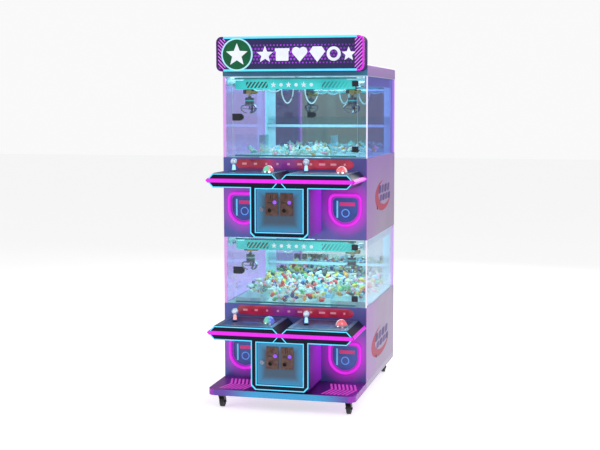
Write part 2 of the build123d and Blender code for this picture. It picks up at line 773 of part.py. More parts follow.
def coin_acceptors(tier):
    z = tier.console
    z0, z1 = z - 177, z - 59                     # faceplate bottom and top
    face_y = DOOR_Y - 4                          # front of the faceplates
    with BuildPart() as acceptors:
        for x in ACCEPTOR_XS:
            with BuildSketch(front(DOOR_Y)):
                with Locations((x, (z0 + z1) / 2)):
                    RectangleRounded(66, z1 - z0, 3)
            extrude(amount=4)
            block(x - 28.5, x + 28.5, DOOR_Y, DOOR_Y + 45, z - 171.5, z - 64.5)
            # coin entry with its guide
            block(x - 12, x + 2, face_y - 5, face_y, z - 94, z - 66)
            block(x - 6.4, x - 3.6, face_y - 6, face_y + 3, z - 91, z - 69, mode=Mode.SUBTRACT)
            # reject slot
            block(x - 22, x - 2, face_y - 1, face_y + 2, z - 113, z - 107, mode=Mode.SUBTRACT)
            # return button
            rod_y(x + 16, face_y - 4.5, face_y, z - 108, 9.5)
            # coin return cup
            rod_y(x - 11, face_y - 2.5, face_y, z - 150, 14)
            rod_y(x - 11, face_y - 3, DOOR_Y + 8, z - 150, 10.5, mode=Mode.SUBTRACT)
            # faceplate screws
            for dx in (-27, 27):
                for screw_z in (z0 + 8, z1 - 8):
                    rod_y(x + dx, face_y - 1, face_y, screw_z, 3)
    save(acceptors, f"coin_acceptors_{tier.name}")


def prize_flap(tier, side_name):
    x, z = SIDES[side_name] * CHUTE_X, tier.console
    half_w = HOLE_HALF_W + 6
    with BuildPart() as flap:
        with BuildSketch(front(9)):
            with BuildLine():
                hole_outline(x, z, half_w, HOLE_TOP + 2, HOLE_BOT - 6, 8)
            make_face()
        extrude(amount=4)
        fillet(flap.edges().group_by(Axis.Y)[0], 1.0)
        # hinge tube along the top edge
        rod_x(x - half_w, x + half_w, 9.2, z + HOLE_TOP + 4, 4.5)
    save(flap, f"prize_flap_{tier.name}_{side_name}")


# ---------------------------------------------------------------- player controls
def push_button(tier, side_name):
    """Domed cap, hollow up the middle of nothing: a solid of revolution with a short stem."""
    x = console_x(SIDES[side_name]) + BUTTON_DX
    rim_z = tier.console + HEX_H + PLATE_T + 2.0
    stem_z, stem_r = tier.console + 12, 9
    skirt_h, dome_h = 5.0, 28.0
    top_z = rim_z + skirt_h + dome_h
    sphere_r = (DOME_R**2 + dome_h**2) / (2 * dome_h)
    start_angle = math.degrees(math.asin((sphere_r - dome_h) / sphere_r))
    with BuildPart() as cap:
        with BuildSketch(front(CTRL_Y, x)):
            with BuildLine():
                stem_end = Line((0, stem_z), (stem_r, stem_z))
                stem_wall = Line(stem_end @ 1, (stem_r, rim_z))
                rim = Line(stem_wall @ 1, (DOME_R, rim_z))
                Line(rim @ 1, (DOME_R, rim_z + skirt_h))
                # spherical dome, centred on the axis
                CenterArc((0, top_z - sphere_r), sphere_r, start_angle, 90 - start_angle)
                Line((0, top_z), stem_end @ 0)
            make_face()
        revolve(axis=Axis((x, to_y(CTRL_Y), 0), (0, 0, 1)))
    save(cap, f"push_button_{tier.name}_{side_name}")


def joystick(tier, side_name):
    """Gimbal ring rocking about X, and the stick rocking in it about Y."""
    x = console_x(SIDES[side_name]) + STICK_DX
    z = tier.console
    pivot_z = z + PIVOT_UP
    with BuildPart() as gimbal:
        rod_z(x, CTRL_Y, pivot_z - 4, pivot_z + 4, 16)
        rod_x(x - 23.5, x + 23.5, CTRL_Y, pivot_z, 3)
        rod_z(x, CTRL_Y, pivot_z - 5, pivot_z + 5, 9.5, mode=Mode.SUBTRACT)
        rod_y(x, CTRL_Y - 14, CTRL_Y + 14, pivot_z, 2.06, mode=Mode.SUBTRACT)
    save(gimbal, f"joystick_gimbal_{tier.name}_{side_name}")
    with BuildPart() as stick:
        # shaft, foot, pivot ball and pin, then collar, grip and ball top
        rod_z(x, CTRL_Y, z - 14, z + 82, 4.5)
        rod_z(x, CTRL_Y, z - 18, z - 10, 8)
        ball(x, CTRL_Y, pivot_z, 7.5)
        rod_y(x, CTRL_Y - 13.5, CTRL_Y + 13.5, pivot_z, 2)
        rod_z(x, CTRL_Y, z + 47.5, z + 49.5, 15)
        with Locations((x, to_y(CTRL_Y), z + 62)):
            Cone(11, 7.5, 32)
        ball(x, CTRL_Y, z + 94, 17.5)
    save(stick, f"joystick_{tier.name}_{side_name}")


# ---------------------------------------------------------------- cranes
CLAW_X, CLAW_Y = 290.0, 140.0
ROD_DY, ROD_DROP, ROD_R = 22.0, 55.0, 5.0    # the trolley's two guide rods


def crane_bridge(tier, side_name):
    """Bridge running front to back on an outer rail and the middle rail."""
    side, top, y = SIDES[side_name], tier.glass_top, CLAW_Y
    wheel_r = 6.0
    wheel_z = top - RAIL_DROP + SHEET + wheel_r + 0.2
    # each end: plate x from and to, axle x from and to, x of the wheel's plate-side face
    ends = ((360.0, 366.0, 366.0, 379.5, 369.5), (24.0, 30.0, 24.0, 6.0, 16.0))
    with BuildPart() as bridge:
        for plate_x0, plate_x1, axle_x0, axle_x1, wheel_x in ends:
            block(side * plate_x0, side * plate_x1, y - 36, y + 36, top - 64, top - 30)
            for wheel_y in (y - 24, y + 24):
                rod_x(side * axle_x0, side * axle_x1, wheel_y, wheel_z, 2.5)
                rod_x(side * wheel_x, side * axle_x1, wheel_y, wheel_z, wheel_r)
        for rod_y_pos in (y - ROD_DY, y + ROD_DY):
            rod_x(side * 29, side * 361, rod_y_pos, top - ROD_DROP, ROD_R)
        # block and short boss inside the outer plate
        block(side * 330, side * 361, y - 14, y + 14, top - 62, top - 34)
        rod_x(side * 322, side * 331, y, top - 46, 9)
    save(bridge, f"crane_bridge_{tier.name}_{side_name}")


def crane_trolley(tier, side_name):
    side, top, y = SIDES[side_name], tier.glass_top, CLAW_Y
    x = side * CLAW_X
    drum_z, motor_z = top - 32, top - 79
    with BuildPart() as trolley:
        block(x - 26, x + 26, y - 31, y + 31, top - 66, top - 45)
        for rod_y_pos in (y - ROD_DY, y + ROD_DY):
            rod_x(x - 30, x + 30, rod_y_pos, top - ROD_DROP, ROD_R + 0.06, mode=Mode.SUBTRACT)
        # winch above: cheeks, drum, its two flanges and an end can
        for cheek_x in (x - 14, x + 11):
            block(cheek_x, cheek_x + 3, y - 13, y + 13, top - 45, top - 20)
        rod_x(x - 12, x + 12, y, drum_z, 7)
        for flange_x in (x - 11, x + 8.5):
            rod_x(flange_x, flange_x + 2.5, y, drum_z, 10.5)
        rod_x(x - side * 13, x - side * 25, y, drum_z, 10.5)
        # gearbox and motor below
        block(x - 15, x + 15, y - 17, y + 17, top - 92, top - 66)
        rod_x(x + 14, x + 44, y - 2, motor_z, 11.5)
        rod_x(x + 43, x + 48, y - 2, motor_z, 8)
        block(x - 34, x - 14, y - 10, y + 12, top - 90, top - 68)
        rod_z(x, y, top - 97, top - 91, 6)
    save(trolley, f"crane_trolley_{tier.name}_{side_name}")


def claw(tier, side_name):
    """Coil head with three fingers at 120 degrees."""
    top, x, y = tier.glass_top, SIDES[side_name] * CLAW_X, CLAW_Y
    with BuildPart() as grab:
        # coil head: cap, can with a waist ring, skirt
        rod_z(x, y, top - 111, top - 101, 8)
        rod_z(x, y, top - 150, top - 110, 24)
        fillet(grab.edges().filter_by(GeomType.CIRCLE).group_by(Axis.Z)[-2], 3.0)
        rod_z(x, y, top - 131, top - 125, 25.5)
        rod_z(x, y, top - 156, top - 149, 28)
        # plunger and spider under the head
        rod_z(x, y, top - 172, top - 155, 5)
        rod_z(x, y, top - 176, top - 171, 9)
        for k in range(3):
            angle = math.radians(90 + 120 * k)
            # radial plane: local x outwards, local y up from the glass top
            radial = Plane(
                origin=(x, to_y(y), top),
                x_dir=(math.cos(angle), math.sin(angle), 0),
                z_dir=(math.sin(angle), -math.cos(angle), 0),
            )
            with BuildSketch(radial):
                with BuildLine():
                    outer = Spline((24, -150), (43, -153), (52, -167), (44, -184), (18, -197))
                    tip = Line(outer @ 1, (15.5, -193))
                    inner = Spline(tip @ 1, (39.5, -181), (46, -167), (39, -158), (24, -156))
                    Line(inner @ 1, outer @ 0)
                make_face()
            extrude(amount=5.5, both=True)
            # push link from the spider to the finger
            with BuildSketch(radial):
                with BuildLine():
                    Polyline((7, -172), (7, -176), (42, -172), (43, -168), (7, -172))
                make_face()
            extrude(amount=1.5, both=True)
    save(grab, f"claw_{tier.name}_{side_name}")


# ---------------------------------------------------------------- casters
def caster(name):
    """Swivel fork and its wheel, trailing to the back."""
    wheel_r, wheel_w, axle_r, trail = 30.0, 22.0, 4.0, 18.0
    axle_z = wheel_r
    cheek_t = 2.6
    x, y = CASTERS[name]
    wheel_y = y + trail
    with BuildPart() as fork:
        rod_z(x, y, 70.5, 76.6, 23)
        rod_z(x, y, 62, 71, 15)
        for cheek_x in (x - 12.4 - cheek_t, x + 12.4):
            with BuildSketch(across(cheek_x)):
                with BuildLine():
                    Polyline(
                        (to_y(y - 18), 71), (to_y(y + 22), 71),
                        (to_y(wheel_y + 12), 36), (to_y(wheel_y + 9), 22),
                        (to_y(wheel_y - 9), 22), (to_y(wheel_y - 14), 34),
                        (to_y(y - 18), 71),
                    )
                make_face()
            extrude(amount=cheek_t)
        rod_x(x - 18, x + 18, wheel_y, axle_z, axle_r)
        rod_x(x - 19, x - 15, wheel_y, axle_z, 6.5)
        rod_x(x + 15, x + 19, wheel_y, axle_z, 6.5)
        block(x - 13, x + 13, y - 18, y - 15.5, 62, 71)
        # wheel clearance between the cheeks, then the axle put back across it
        rod_x(x - 12.2, x + 12.2, wheel_y, axle_z, wheel_r + 2.0, mode=Mode.SUBTRACT)
        rod_x(x - 12.5, x + 12.5, wheel_y, axle_z, axle_r)
    save(fork, f"caster_fork_{name}")
    with BuildPart() as wheel:
        rod_x(x - wheel_w / 2, x + wheel_w / 2, wheel_y, axle_z, wheel_r)
        fillet(wheel.edges().filter_by(GeomType.CIRCLE), 3.5)
        # dished faces, hub and bore
        rod_x(x - 12, x - 8, wheel_y, axle_z, 19, mode=Mode.SUBTRACT)
        rod_x(x + 8, x + 12, wheel_y, axle_z, 19, mode=Mode.SUBTRACT)
        rod_x(x - 11.5, x + 11.5, wheel_y, axle_z, 8)
        rod_x(x - 13, x + 13, wheel_y, axle_z, axle_r + 0.06, mode=Mode.SUBTRACT)
    save(wheel, f"caster_wheel_{name}")


# ---------------------------------------------------------------- build everything
for build_fixed in (
    base_platform, side_rear_panels, front_panels, roof_panel, prize_decks,
    display_frames, fixed_glass, rear_mirrors, console_housings, control_plates,
    cyan_led_tubes, magenta_led_tubes, marquee_housing, marquee_face,
    printed_panels, panel_screws,
):
    build_fixed()

for tier in TIERS:
    for build_per_tier in (glass_door, coin_door, coin_acceptors):
        build_per_tier(tier)
    for side_name in SIDES:
        for build_per_player in (
            prize_flap, push_button, joystick, crane_bridge, crane_trolley, claw,
        ):
            build_per_player(tier, side_name)

for caster_name in CASTERS:
    caster(caster_name)
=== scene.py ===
"""Two-tier prize crane cabinet with a left and a right station on each tier.

Loads the CAD pieces, gives them materials, and adds decals, prizes, cords and lights.
Metres: +x is right seen from the front, +y runs to the back, +z is up from the floor.
"""
import math
import random

import bmesh
import bpy
from mathutils import Matrix, Vector


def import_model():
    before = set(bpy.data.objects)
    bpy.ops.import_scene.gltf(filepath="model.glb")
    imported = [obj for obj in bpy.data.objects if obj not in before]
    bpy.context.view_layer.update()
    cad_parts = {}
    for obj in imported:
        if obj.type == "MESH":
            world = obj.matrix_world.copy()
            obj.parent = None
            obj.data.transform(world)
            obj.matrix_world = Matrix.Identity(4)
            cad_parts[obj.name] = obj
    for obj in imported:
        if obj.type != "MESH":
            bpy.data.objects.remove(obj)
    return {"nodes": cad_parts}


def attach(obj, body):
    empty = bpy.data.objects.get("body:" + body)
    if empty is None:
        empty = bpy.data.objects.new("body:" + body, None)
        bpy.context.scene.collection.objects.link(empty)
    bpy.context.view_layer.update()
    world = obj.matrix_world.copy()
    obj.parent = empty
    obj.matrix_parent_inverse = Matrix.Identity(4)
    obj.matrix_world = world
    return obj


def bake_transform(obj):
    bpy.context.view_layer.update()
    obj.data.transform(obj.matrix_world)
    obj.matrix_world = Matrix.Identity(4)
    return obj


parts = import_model()["nodes"]
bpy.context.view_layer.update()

# ------------------------------------------------------------------ driving dimensions
FRONT_Y = -0.27525  # y of the front sheet
TIERS = ("lower", "upper")
SIDES = {"left": -1, "right": 1}
CONSOLE_Z = {"lower": 0.423, "upper": 1.228}  # reference height of each console
CHAMBER_TOP_Z = {"lower": 0.898, "upper": 1.771}
DECK_RISE = 0.108  # prize deck above the console reference
DECK_Z = {tier: z + DECK_RISE for tier, z in CONSOLE_Z.items()}

STATION_X = 0.1975  # middle of a control plate, either side of centre
BUTTON_OFFSET_X = 0.101  # push button, to the right of the plate's middle
BUTTON_DEPTH = -0.172  # push button, from the front sheet
OUTLET_X = 0.282  # middle of a prize outlet, either side of centre
OUTLET_DROP = 0.166  # outlet middle below the console reference
TROLLEY_X = 0.290
SIDE_X = 0.400  # outer face of the side sheets
BADGE_X, BADGE_Z, BADGE_RADIUS = -0.285, 1.886, 0.086  # round badge on the marquee

BLACK = (0.0, 0.0, 0.0)


def depth_y(distance):
    """The y at a distance behind the front sheet (negative is in front of it)."""
    return FRONT_Y + distance


# ------------------------------------------------------------------ shader building
materials = {}


def math_method(operation):
    """Makes a Signal method that adds one Math node."""

    def method(self, *others):
        inputs = dict(enumerate((self, *others)))
        return self.shader.node("ShaderNodeMath", inputs, operation=operation)

    return method


class Signal:
    """An output socket. Arithmetic and comparisons on it add Math nodes."""

    def __init__(self, shader, socket):
        self.shader = shader
        self.socket = socket

    __add__ = math_method("ADD")
    __sub__ = math_method("SUBTRACT")
    __mul__ = math_method("MULTIPLY")
    __truediv__ = math_method("DIVIDE")
    __mod__ = math_method("MODULO")
    __pow__ = math_method("POWER")
    __abs__ = math_method("ABSOLUTE")
    __lt__ = math_method("LESS_THAN")
    __gt__ = math_method("GREATER_THAN")
    maximum = math_method("MAXIMUM")
    minimum = math_method("MINIMUM")
    fract = math_method("FRACT")
    floor = math_method("FLOOR")
    sqrt = math_method("SQRT")
    sign = math_method("SIGN")

    def __rsub__(self, number):
        return self.shader.node("ShaderNodeMath", {0: number, 1: self}, operation="SUBTRACT")

    def remap(self, low=0.0, high=1.0, start=0.0, end=1.0, smooth=False):
        """Goes from low to high while the signal goes from start to end."""
        inputs = {"Value": self, "From Min": start, "From Max": end, "To Min": low, "To Max": high}
        interpolation = "SMOOTHSTEP" if smooth else "LINEAR"
        return self.shader.node("ShaderNodeMapRange", inputs, interpolation_type=interpolation)

    def tint(self, dark, light, stops=(0.3, 0.7)):
        """A colour ramp between two stops."""
        colour = self.shader.node("ShaderNodeValToRGB", {"Fac": self}, "Color")
        elements = colour.socket.node.color_ramp.elements
        for element, stop, shade in zip(elements, stops, (dark, light)):
            element.position = stop
            element.color = (*shade, 1)
        return colour

    def bump(self, strength, distance=0.001):
        inputs = {"Strength": strength, "Distance": distance, "Height": self}
        return self.shader.node("ShaderNodeBump", inputs)


class Shader:
    """A new node material, with object coordinates ready to use."""

    def __init__(self, name):
        self.material = bpy.data.materials.new(name)
        self.material.use_nodes = True
        self.tree = self.material.node_tree
        self.tree.nodes.clear()
        self.output = self.tree.nodes.new("ShaderNodeOutputMaterial")
        self.vector = self.coordinates((1, 1, 1))

    def feed(self, socket, value):
        """Links a Signal into a socket, or sets a plain number, vector or colour."""
        if isinstance(value, Signal):
            self.tree.links.new(value.socket, socket)
        elif socket.type == "RGBA":
            socket.default_value = (*value, 1)
        else:
            socket.default_value = value

    def node(self, kind, inputs, output=0, **settings):
        """Adds a node and returns one of its outputs."""
        node = self.tree.nodes.new(kind)
        for key, value in settings.items():
            setattr(node, key, value)
        for key, value in inputs.items():
            self.feed(node.inputs[key], value)
        return Signal(self, node.outputs[output])

    def coordinates(self, scale):
        place = self.node("ShaderNodeTexCoord", {}, "Object")
        return self.node("ShaderNodeMapping", {"Scale": scale, "Vector": place})

    def position(self):
        """The x, y and z of the shaded point."""
        x = self.node("ShaderNodeSeparateXYZ", {0: self.vector})
        return [Signal(self, socket) for socket in x.socket.node.outputs]

    def noise(self, scale, detail=3.0, roughness=0.5, stretch=None):
        """Noise, drawn out into brushed grain where a stretch is given."""
        vector = self.coordinates(stretch) if stretch else self.vector
        inputs = {"Vector": vector, "Scale": scale, "Detail": detail, "Roughness": roughness}
        return self.node("ShaderNodeTexNoise", inputs, "Fac")

    def facing(self, blend):
        return self.node("ShaderNodeLayerWeight", {0: blend}, "Facing")

    def mix(self, factor, first, second):
        """Mixes two colours."""
        inputs = {0: factor, 6: first, 7: second}
        return self.node("ShaderNodeMix", inputs, 2, data_type="RGBA")

    def principled(self, **inputs):
        """A Principled BSDF; the keyword base_color sets its Base Color, and so on."""
        named = {k.replace("_", " ").title().replace("Ior", "IOR"): v for k, v in inputs.items()}
        return self.node("ShaderNodeBsdfPrincipled", named)

    def finish(self, surface):
        """Links the surface to the output and files the material under its name."""
        self.feed(self.output.inputs[0], surface)
        materials[self.material.name] = self.material

    def finish_principled(self, **inputs):
        self.finish(self.principled(**inputs))


def scaled(colour, factor):
    return tuple(min(1.0, max(0.0, channel * factor)) for channel in colour)


def over_tiers(mask):
    """Joins the mask of the lower tier with that of the upper tier."""
    lower, upper = (mask(tier) for tier in TIERS)
    return lower.maximum(upper)


# ------------------------------------------------------------------ general materials
def coated(name, colour, metallic, roughness, contrast, scale,
           grain=None, coat=0.0, bump=0.08, specular=0.5):
    """Painted or brushed surface: mottled colour, roughness wear, fine grain."""
    shader = Shader(name)
    mottle = shader.noise(scale, detail=4.0, roughness=0.6)
    shade = mottle.tint(scaled(colour, 1 - contrast), scaled(colour, 1 + contrast))
    if grain:
        fine = shader.noise(60.0, detail=2.0, roughness=0.7, stretch=grain)
        shade = shader.mix(fine.remap(high=0.35), shade, scaled(colour, 1.5))
        wear = fine.remap(low=max(0.05, roughness - 0.12), high=min(1.0, roughness + 0.12))
    else:
        fine = shader.noise(900.0, detail=1.0)
        wear = mottle.remap(low=max(0.03, roughness - 0.06), high=min(1.0, roughness + 0.08))
    shader.finish_principled(
        base_color=shade, metallic=metallic, roughness=wear, coat_weight=coat,
        specular_ior_level=specular, normal=fine.bump(bump))


def lit(name, colour, edge, strength, contrast, scale, body=0.25):
    """Lit diffuser with faint unevenness; body is how much of the colour is painted on."""
    shader = Shader(name)
    mottle = shader.noise(scale, detail=2.0)
    shade = mottle.tint(scaled(colour, 1 - contrast), colour)
    glow = shader.mix(shader.facing(0.25), edge, shade) if edge else shade
    shader.finish_principled(
        base_color=shader.mix(1.0 - body, shade, BLACK), emission_color=glow,
        emission_strength=mottle.remap(low=strength * 0.92, high=strength * 1.08),
        roughness=0.35, specular_ior_level=0.2)


def clear(name, colour, reflection, glancing):
    """Thin pane: transparent face-on, reflecting at a glancing angle, faint smears."""
    shader = Shader(name)
    smears = shader.noise(6.0)
    tint = smears.tint(scaled(colour, 0.985), colour, stops=(0.35, 0.65))
    transparent = shader.node("ShaderNodeBsdfTransparent", {"Color": tint})
    glossy = shader.node("ShaderNodeBsdfGlossy", {
        "Color": (0.9, 1.0, 1.0), "Roughness": smears.remap(low=0.03, high=0.08)})
    fresnel = shader.node("ShaderNodeFresnel", {"IOR": 1.35})
    factor = fresnel * glancing + smears.remap(low=reflection, high=reflection + 0.02)
    shader.finish(shader.node("ShaderNodeMixShader", {0: factor, 1: transparent, 2: glossy}))


def plush(name, colour):
    """Soft prize fabric."""
    shader = Shader(name)
    pile = shader.noise(320.0, roughness=0.7)
    patches = shader.noise(26.0, detail=2.0)
    shade = patches.tint(scaled(colour, 0.82), scaled(colour, 1.1))
    shade = shader.mix(pile.remap(high=0.3), shade, scaled(colour, 0.65))
    # faint painted glow: the fabric emits a little of its own colour
    shader.finish_principled(
        base_color=shade, roughness=0.8, sheen_weight=0.25, emission_color=shade,
        emission_strength=0.05, normal=pile.bump(0.35, distance=0.002))


# name, colour, metallic, roughness, mottle contrast, mottle scale, other settings
COATED = [
    ("rear_sheet_grey", (0.30, 0.27, 0.38), 0.4, 0.42, 0.12, 6.0, {"grain": (1, 1, 10)}),
    # roof: its own steel blue, shifted cyan as painted light from the nearby cyan tube
    ("roof_steel_blue", (0.050, 0.19, 0.32), 0.5, 0.35, 0.15, 6.0, {"grain": (10, 1, 1)}),
    ("deck_white", (0.50, 0.66, 0.70), 0.0, 0.30, 0.06, 5.0, {"coat": 0.3}),
    ("frame_white", (0.46, 0.66, 0.72), 0.1, 0.30, 0.08, 14.0, {"coat": 0.3}),
    ("console_black", (0.004, 0.006, 0.022), 0.0, 0.34, 0.25, 12.0,
     {"coat": 0.05, "bump": 0.03, "specular": 0.12}),
    ("bezel_chrome", (0.58, 0.60, 0.68), 1.0, 0.14, 0.08, 30.0, {}),
    ("black_bracket", (0.03, 0.03, 0.035), 0.6, 0.40, 0.2, 30.0, {}),
    ("marquee_box_navy", (0.035, 0.016, 0.12), 0.0, 0.62, 0.15, 8.0, {"specular": 0.06}),
    ("screw_zinc", (0.46, 0.46, 0.50), 1.0, 0.28, 0.15, 80.0, {}),
    ("fitting_dark", (0.035, 0.037, 0.05), 0.7, 0.30, 0.2, 40.0, {}),
    ("gasket_teal", (0.030, 0.22, 0.25), 0.2, 0.35, 0.25, 30.0, {}),
    ("acceptor_metal", (0.11, 0.062, 0.056), 0.8, 0.36, 0.45, 60.0, {"grain": (1, 1, 12)}),
    ("slot_black", (0.010, 0.010, 0.012), 0.0, 0.5, 0.2, 60.0, {}),
    ("lock_chrome", (0.22, 0.24, 0.33), 1.0, 0.20, 0.20, 50.0, {}),
    ("gimbal_nylon", (0.035, 0.035, 0.04), 0.0, 0.5, 0.2, 50.0, {}),
    ("crane_paint", (0.55, 0.62, 0.68), 0.3, 0.35, 0.1, 20.0, {}),
    ("ground_rod", (0.65, 0.68, 0.72), 1.0, 0.18, 0.08, 60.0, {}),
    ("motor_gold", (0.42, 0.30, 0.12), 0.9, 0.32, 0.15, 50.0, {}),
    ("winch_dark", (0.05, 0.06, 0.08), 0.3, 0.40, 0.2, 30.0, {}),
    ("claw_chrome", (0.16, 0.19, 0.24), 1.0, 0.24, 0.20, 30.0, {}),
    ("claw_head_dark", (0.07, 0.08, 0.11), 0.5, 0.32, 0.2, 40.0, {}),
    ("fork_black_zinc", (0.035, 0.035, 0.04), 0.8, 0.38, 0.2, 40.0, {}),
    ("tyre_rubber", (0.016, 0.016, 0.018), 0.0, 0.62, 0.25, 60.0, {}),
    ("hub_grey", (0.10, 0.10, 0.11), 0.2, 0.45, 0.2, 60.0, {}),
    ("cord_black", (0.03, 0.03, 0.035), 0.0, 0.55, 0.2, 120.0, {}),
    ("decal_red", (0.42, 0.006, 0.075), 0.0, 0.35, 0.15, 20.0, {"specular": 0.08}),
    ("decal_violet", (0.085, 0.045, 0.20), 0.0, 0.40, 0.2, 14.0, {"specular": 0.08}),
    ("decal_mauve", (0.13, 0.07, 0.27), 0.0, 0.40, 0.12, 14.0, {"specular": 0.08}),
    ("festoon_white", (0.66, 0.76, 0.80), 0.0, 0.45, 0.08, 60.0, {}),
]
# name, colour, colour at glancing edges or None, strength, mottle contrast, mottle scale
LIT = [
    ("display_blue", (0.02, 0.10, 0.35), None, 0.8, 0.35, 120.0),
    ("led_cyan_mat", (0.03, 0.52, 0.95), (0.14, 0.74, 1.0), 1.0, 0.10, 40.0),
    ("led_magenta_mat", (0.62, 0.008, 0.66), (0.78, 0.03, 0.80), 0.95, 0.10, 40.0),
    ("led_magenta_dim", (0.10, 0.02, 0.22), None, 0.5, 0.10, 40.0),
    ("pane_edge_lit", (0.70, 0.62, 0.95), (0.85, 0.85, 1.0), 0.85, 0.10, 40.0),
    ("led_pink_post", (0.62, 0.22, 0.85), (0.80, 0.50, 0.95), 0.75, 0.10, 40.0),
    ("led_magenta_soft", (0.48, 0.12, 0.62), (0.70, 0.40, 0.80), 0.85, 0.10, 40.0),
    ("led_cyan_soft", (0.30, 0.80, 0.95), (0.75, 0.97, 1.0), 1.3, 0.10, 40.0),
    ("badge_green", (0.01, 0.15, 0.06), None, 0.6, 0.25, 25.0),
    ("badge_rim_lit", (0.45, 0.85, 1.0), None, 0.8, 0.05, 30.0),
    ("return_button_violet", (0.25, 0.08, 0.85), None, 1.4, 0.2, 60.0),
    # door glass edges: aqua glass given a painted glow
    ("pane_edge_aqua", (0.30, 0.62, 0.68), None, 0.55, 0.15, 20.0),
    ("claw_ring_teal", (0.10, 0.55, 0.62), None, 0.6, 0.2, 60.0),
    ("shaft_blue_lit", (0.05, 0.25, 0.95), (0.4, 0.8, 1.0), 1.3, 0.15, 60.0),
    ("shaft_red_lit", (0.80, 0.05, 0.12), (1.0, 0.5, 0.5), 1.1, 0.15, 60.0),
    ("chevron_pink", (0.66, 0.07, 0.56), None, 0.85, 0.2, 30.0),
]
# name, colour, reflection face-on, added reflection at a glancing angle
CLEAR = [
    ("pane_clear", (0.93, 0.985, 1.0), 0.015, 0.55),
    ("pane_side_clear", (0.93, 0.92, 1.0), 0.012, 0.40),
    ("pane_side_violet", (0.76, 0.68, 1.0), 0.012, 0.35),
    ("pane_door", (0.95, 0.998, 1.0), 0.012, 0.65),
]
PRIZE_COLOURS = {
    "white": (0.62, 0.70, 0.72), "cream": (0.66, 0.60, 0.42), "red": (0.78, 0.06, 0.06),
    "yellow": (0.90, 0.66, 0.06), "navy": (0.03, 0.06, 0.28), "green": (0.10, 0.50, 0.20),
    "pink": (0.86, 0.38, 0.55), "mint": (0.34, 0.62, 0.58), "orange": (0.88, 0.35, 0.06),
    "sky": (0.25, 0.60, 0.88), "black": (0.02, 0.03, 0.05),
}


# ------------------------------------------------------------------ special materials
def darkened_teal_mirror():
    """A clean reflection, darkened and tinted slightly teal as a painted reflection of dark teal
    surroundings, with faint smears.
    """
    shader = Shader("mirror_painted_teal_reflection")
    smears = shader.noise(4.0)
    shader.finish_principled(
        base_color=smears.tint((0.50, 0.60, 0.64), (0.58, 0.68, 0.72)),
        roughness=smears.remap(low=0.015, high=0.05), metallic=1.0)


def side_sheet():
    """Brushed lilac sheet, pinker towards the front edge and on the upper tier."""
    shader = Shader("side_sheet_lilac")
    _, y, z = shader.position()
    grain = shader.noise(70.0, roughness=0.65, stretch=(1, 0.6, 14))
    lilac = shader.noise(3.0).tint((0.235, 0.175, 0.29), (0.31, 0.235, 0.37))
    pink = shader.mix(grain.remap(high=0.4), (0.30, 0.07, 0.44), (0.46, 0.18, 0.60))
    frontness = y.remap(low=0.85, high=0.10, start=depth_y(0.0), end=depth_y(0.420))
    colour = shader.mix(frontness, lilac, pink)
    upperness = z.remap(high=0.80, start=0.9, end=1.35, smooth=True)
    colour = shader.mix(upperness, colour, (0.33, 0.12, 0.56))
    colour = shader.mix(grain.remap(high=0.18), colour, (0.80, 0.74, 0.90))
    shader.finish_principled(
        base_color=colour, metallic=0.55, roughness=grain.remap(low=0.30, high=0.50),
        normal=grain.bump(0.06))


def front_sheet():
    """Satin blue-violet sheet with a magenta glow hugging each outlet ring."""
    shader = Shader("front_sheet_violet")
    x, _, z = shader.position()
    mottle = shader.noise(7.0, detail=4.0)
    across = abs(x) - OUTLET_X

    def ring_glow(tier):
        """Round below and squared above, like the D-shaped ring."""
        height = z - (CONSOLE_Z[tier] - OUTLET_DROP)
        above = height.maximum(0.0)
        below = height.minimum(0.0)
        squared = (abs(across) ** 4.0 + above ** 4.0) ** 0.25
        rounded = (across * across + below * below).sqrt()
        radius = shader.node(
            "ShaderNodeMix", {0: height > 0.0, 2: rounded, 3: squared}, data_type="FLOAT")
        return abs(radius - 0.083).remap(low=0.85, high=0.0, end=0.080, smooth=True)

    glow = over_tiers(ring_glow)
    colour = mottle.tint((0.085, 0.080, 0.30), (0.125, 0.115, 0.40))
    colour = shader.mix(glow, colour, (0.42, 0.04, 0.52))
    # cooler towards the far left
    leftness = x.remap(low=0.45, high=0.0, start=-0.40, end=0.30)
    colour = shader.mix(leftness, colour, (0.05, 0.13, 0.42))
    shader.finish_principled(
        base_color=colour, emission_color=shader.mix(glow, BLACK, (0.45, 0.01, 0.48)),
        emission_strength=0.32, metallic=0.35, roughness=mottle.remap(low=0.28, high=0.42),
        normal=shader.noise(800.0, detail=1.0).bump(0.05))


def marquee_face():
    """Smoked navy acrylic: a band of purple dots fading sideways, hatched ends."""
    dot_pitch, hatch_pitch = 0.0185, 0.0195
    band_z, band_half_height = 1.8885, 0.055
    shader = Shader("marquee_smoked_face")
    x, _, z = shader.position()
    # every other row of dots is shifted by half a pitch
    shift = (z / dot_pitch).floor() % 2.0 * 0.5
    dot_x = (x / dot_pitch + shift).fract() - 0.5
    dot_z = (z / dot_pitch).fract() - 0.5
    radius = (dot_x * dot_x + dot_z * dot_z).sqrt()
    height = abs(z - band_z)
    dots = radius < height.remap(low=0.38, high=0.16, start=0.015, end=0.060)
    fade = abs(x).remap(low=1.0, high=0.25, start=0.05, end=0.36)
    dots = dots * fade * (height < band_half_height)
    navy = shader.noise(5.0, detail=2.0).tint((0.010, 0.010, 0.05), (0.02, 0.016, 0.085))
    colour = shader.mix(dots, navy, (0.30, 0.035, 0.62))
    stripes = ((abs(x) - z) / hatch_pitch).fract() > 0.58
    hatch = shader.mix(stripes, (0.025, 0.006, 0.060), (0.55, 0.14, 0.72))
    colour = shader.mix(abs(x) > 0.352, colour, hatch)
    shader.finish_principled(
        base_color=colour, emission_color=colour, emission_strength=0.35,
        roughness=0.16, coat_weight=0.5)


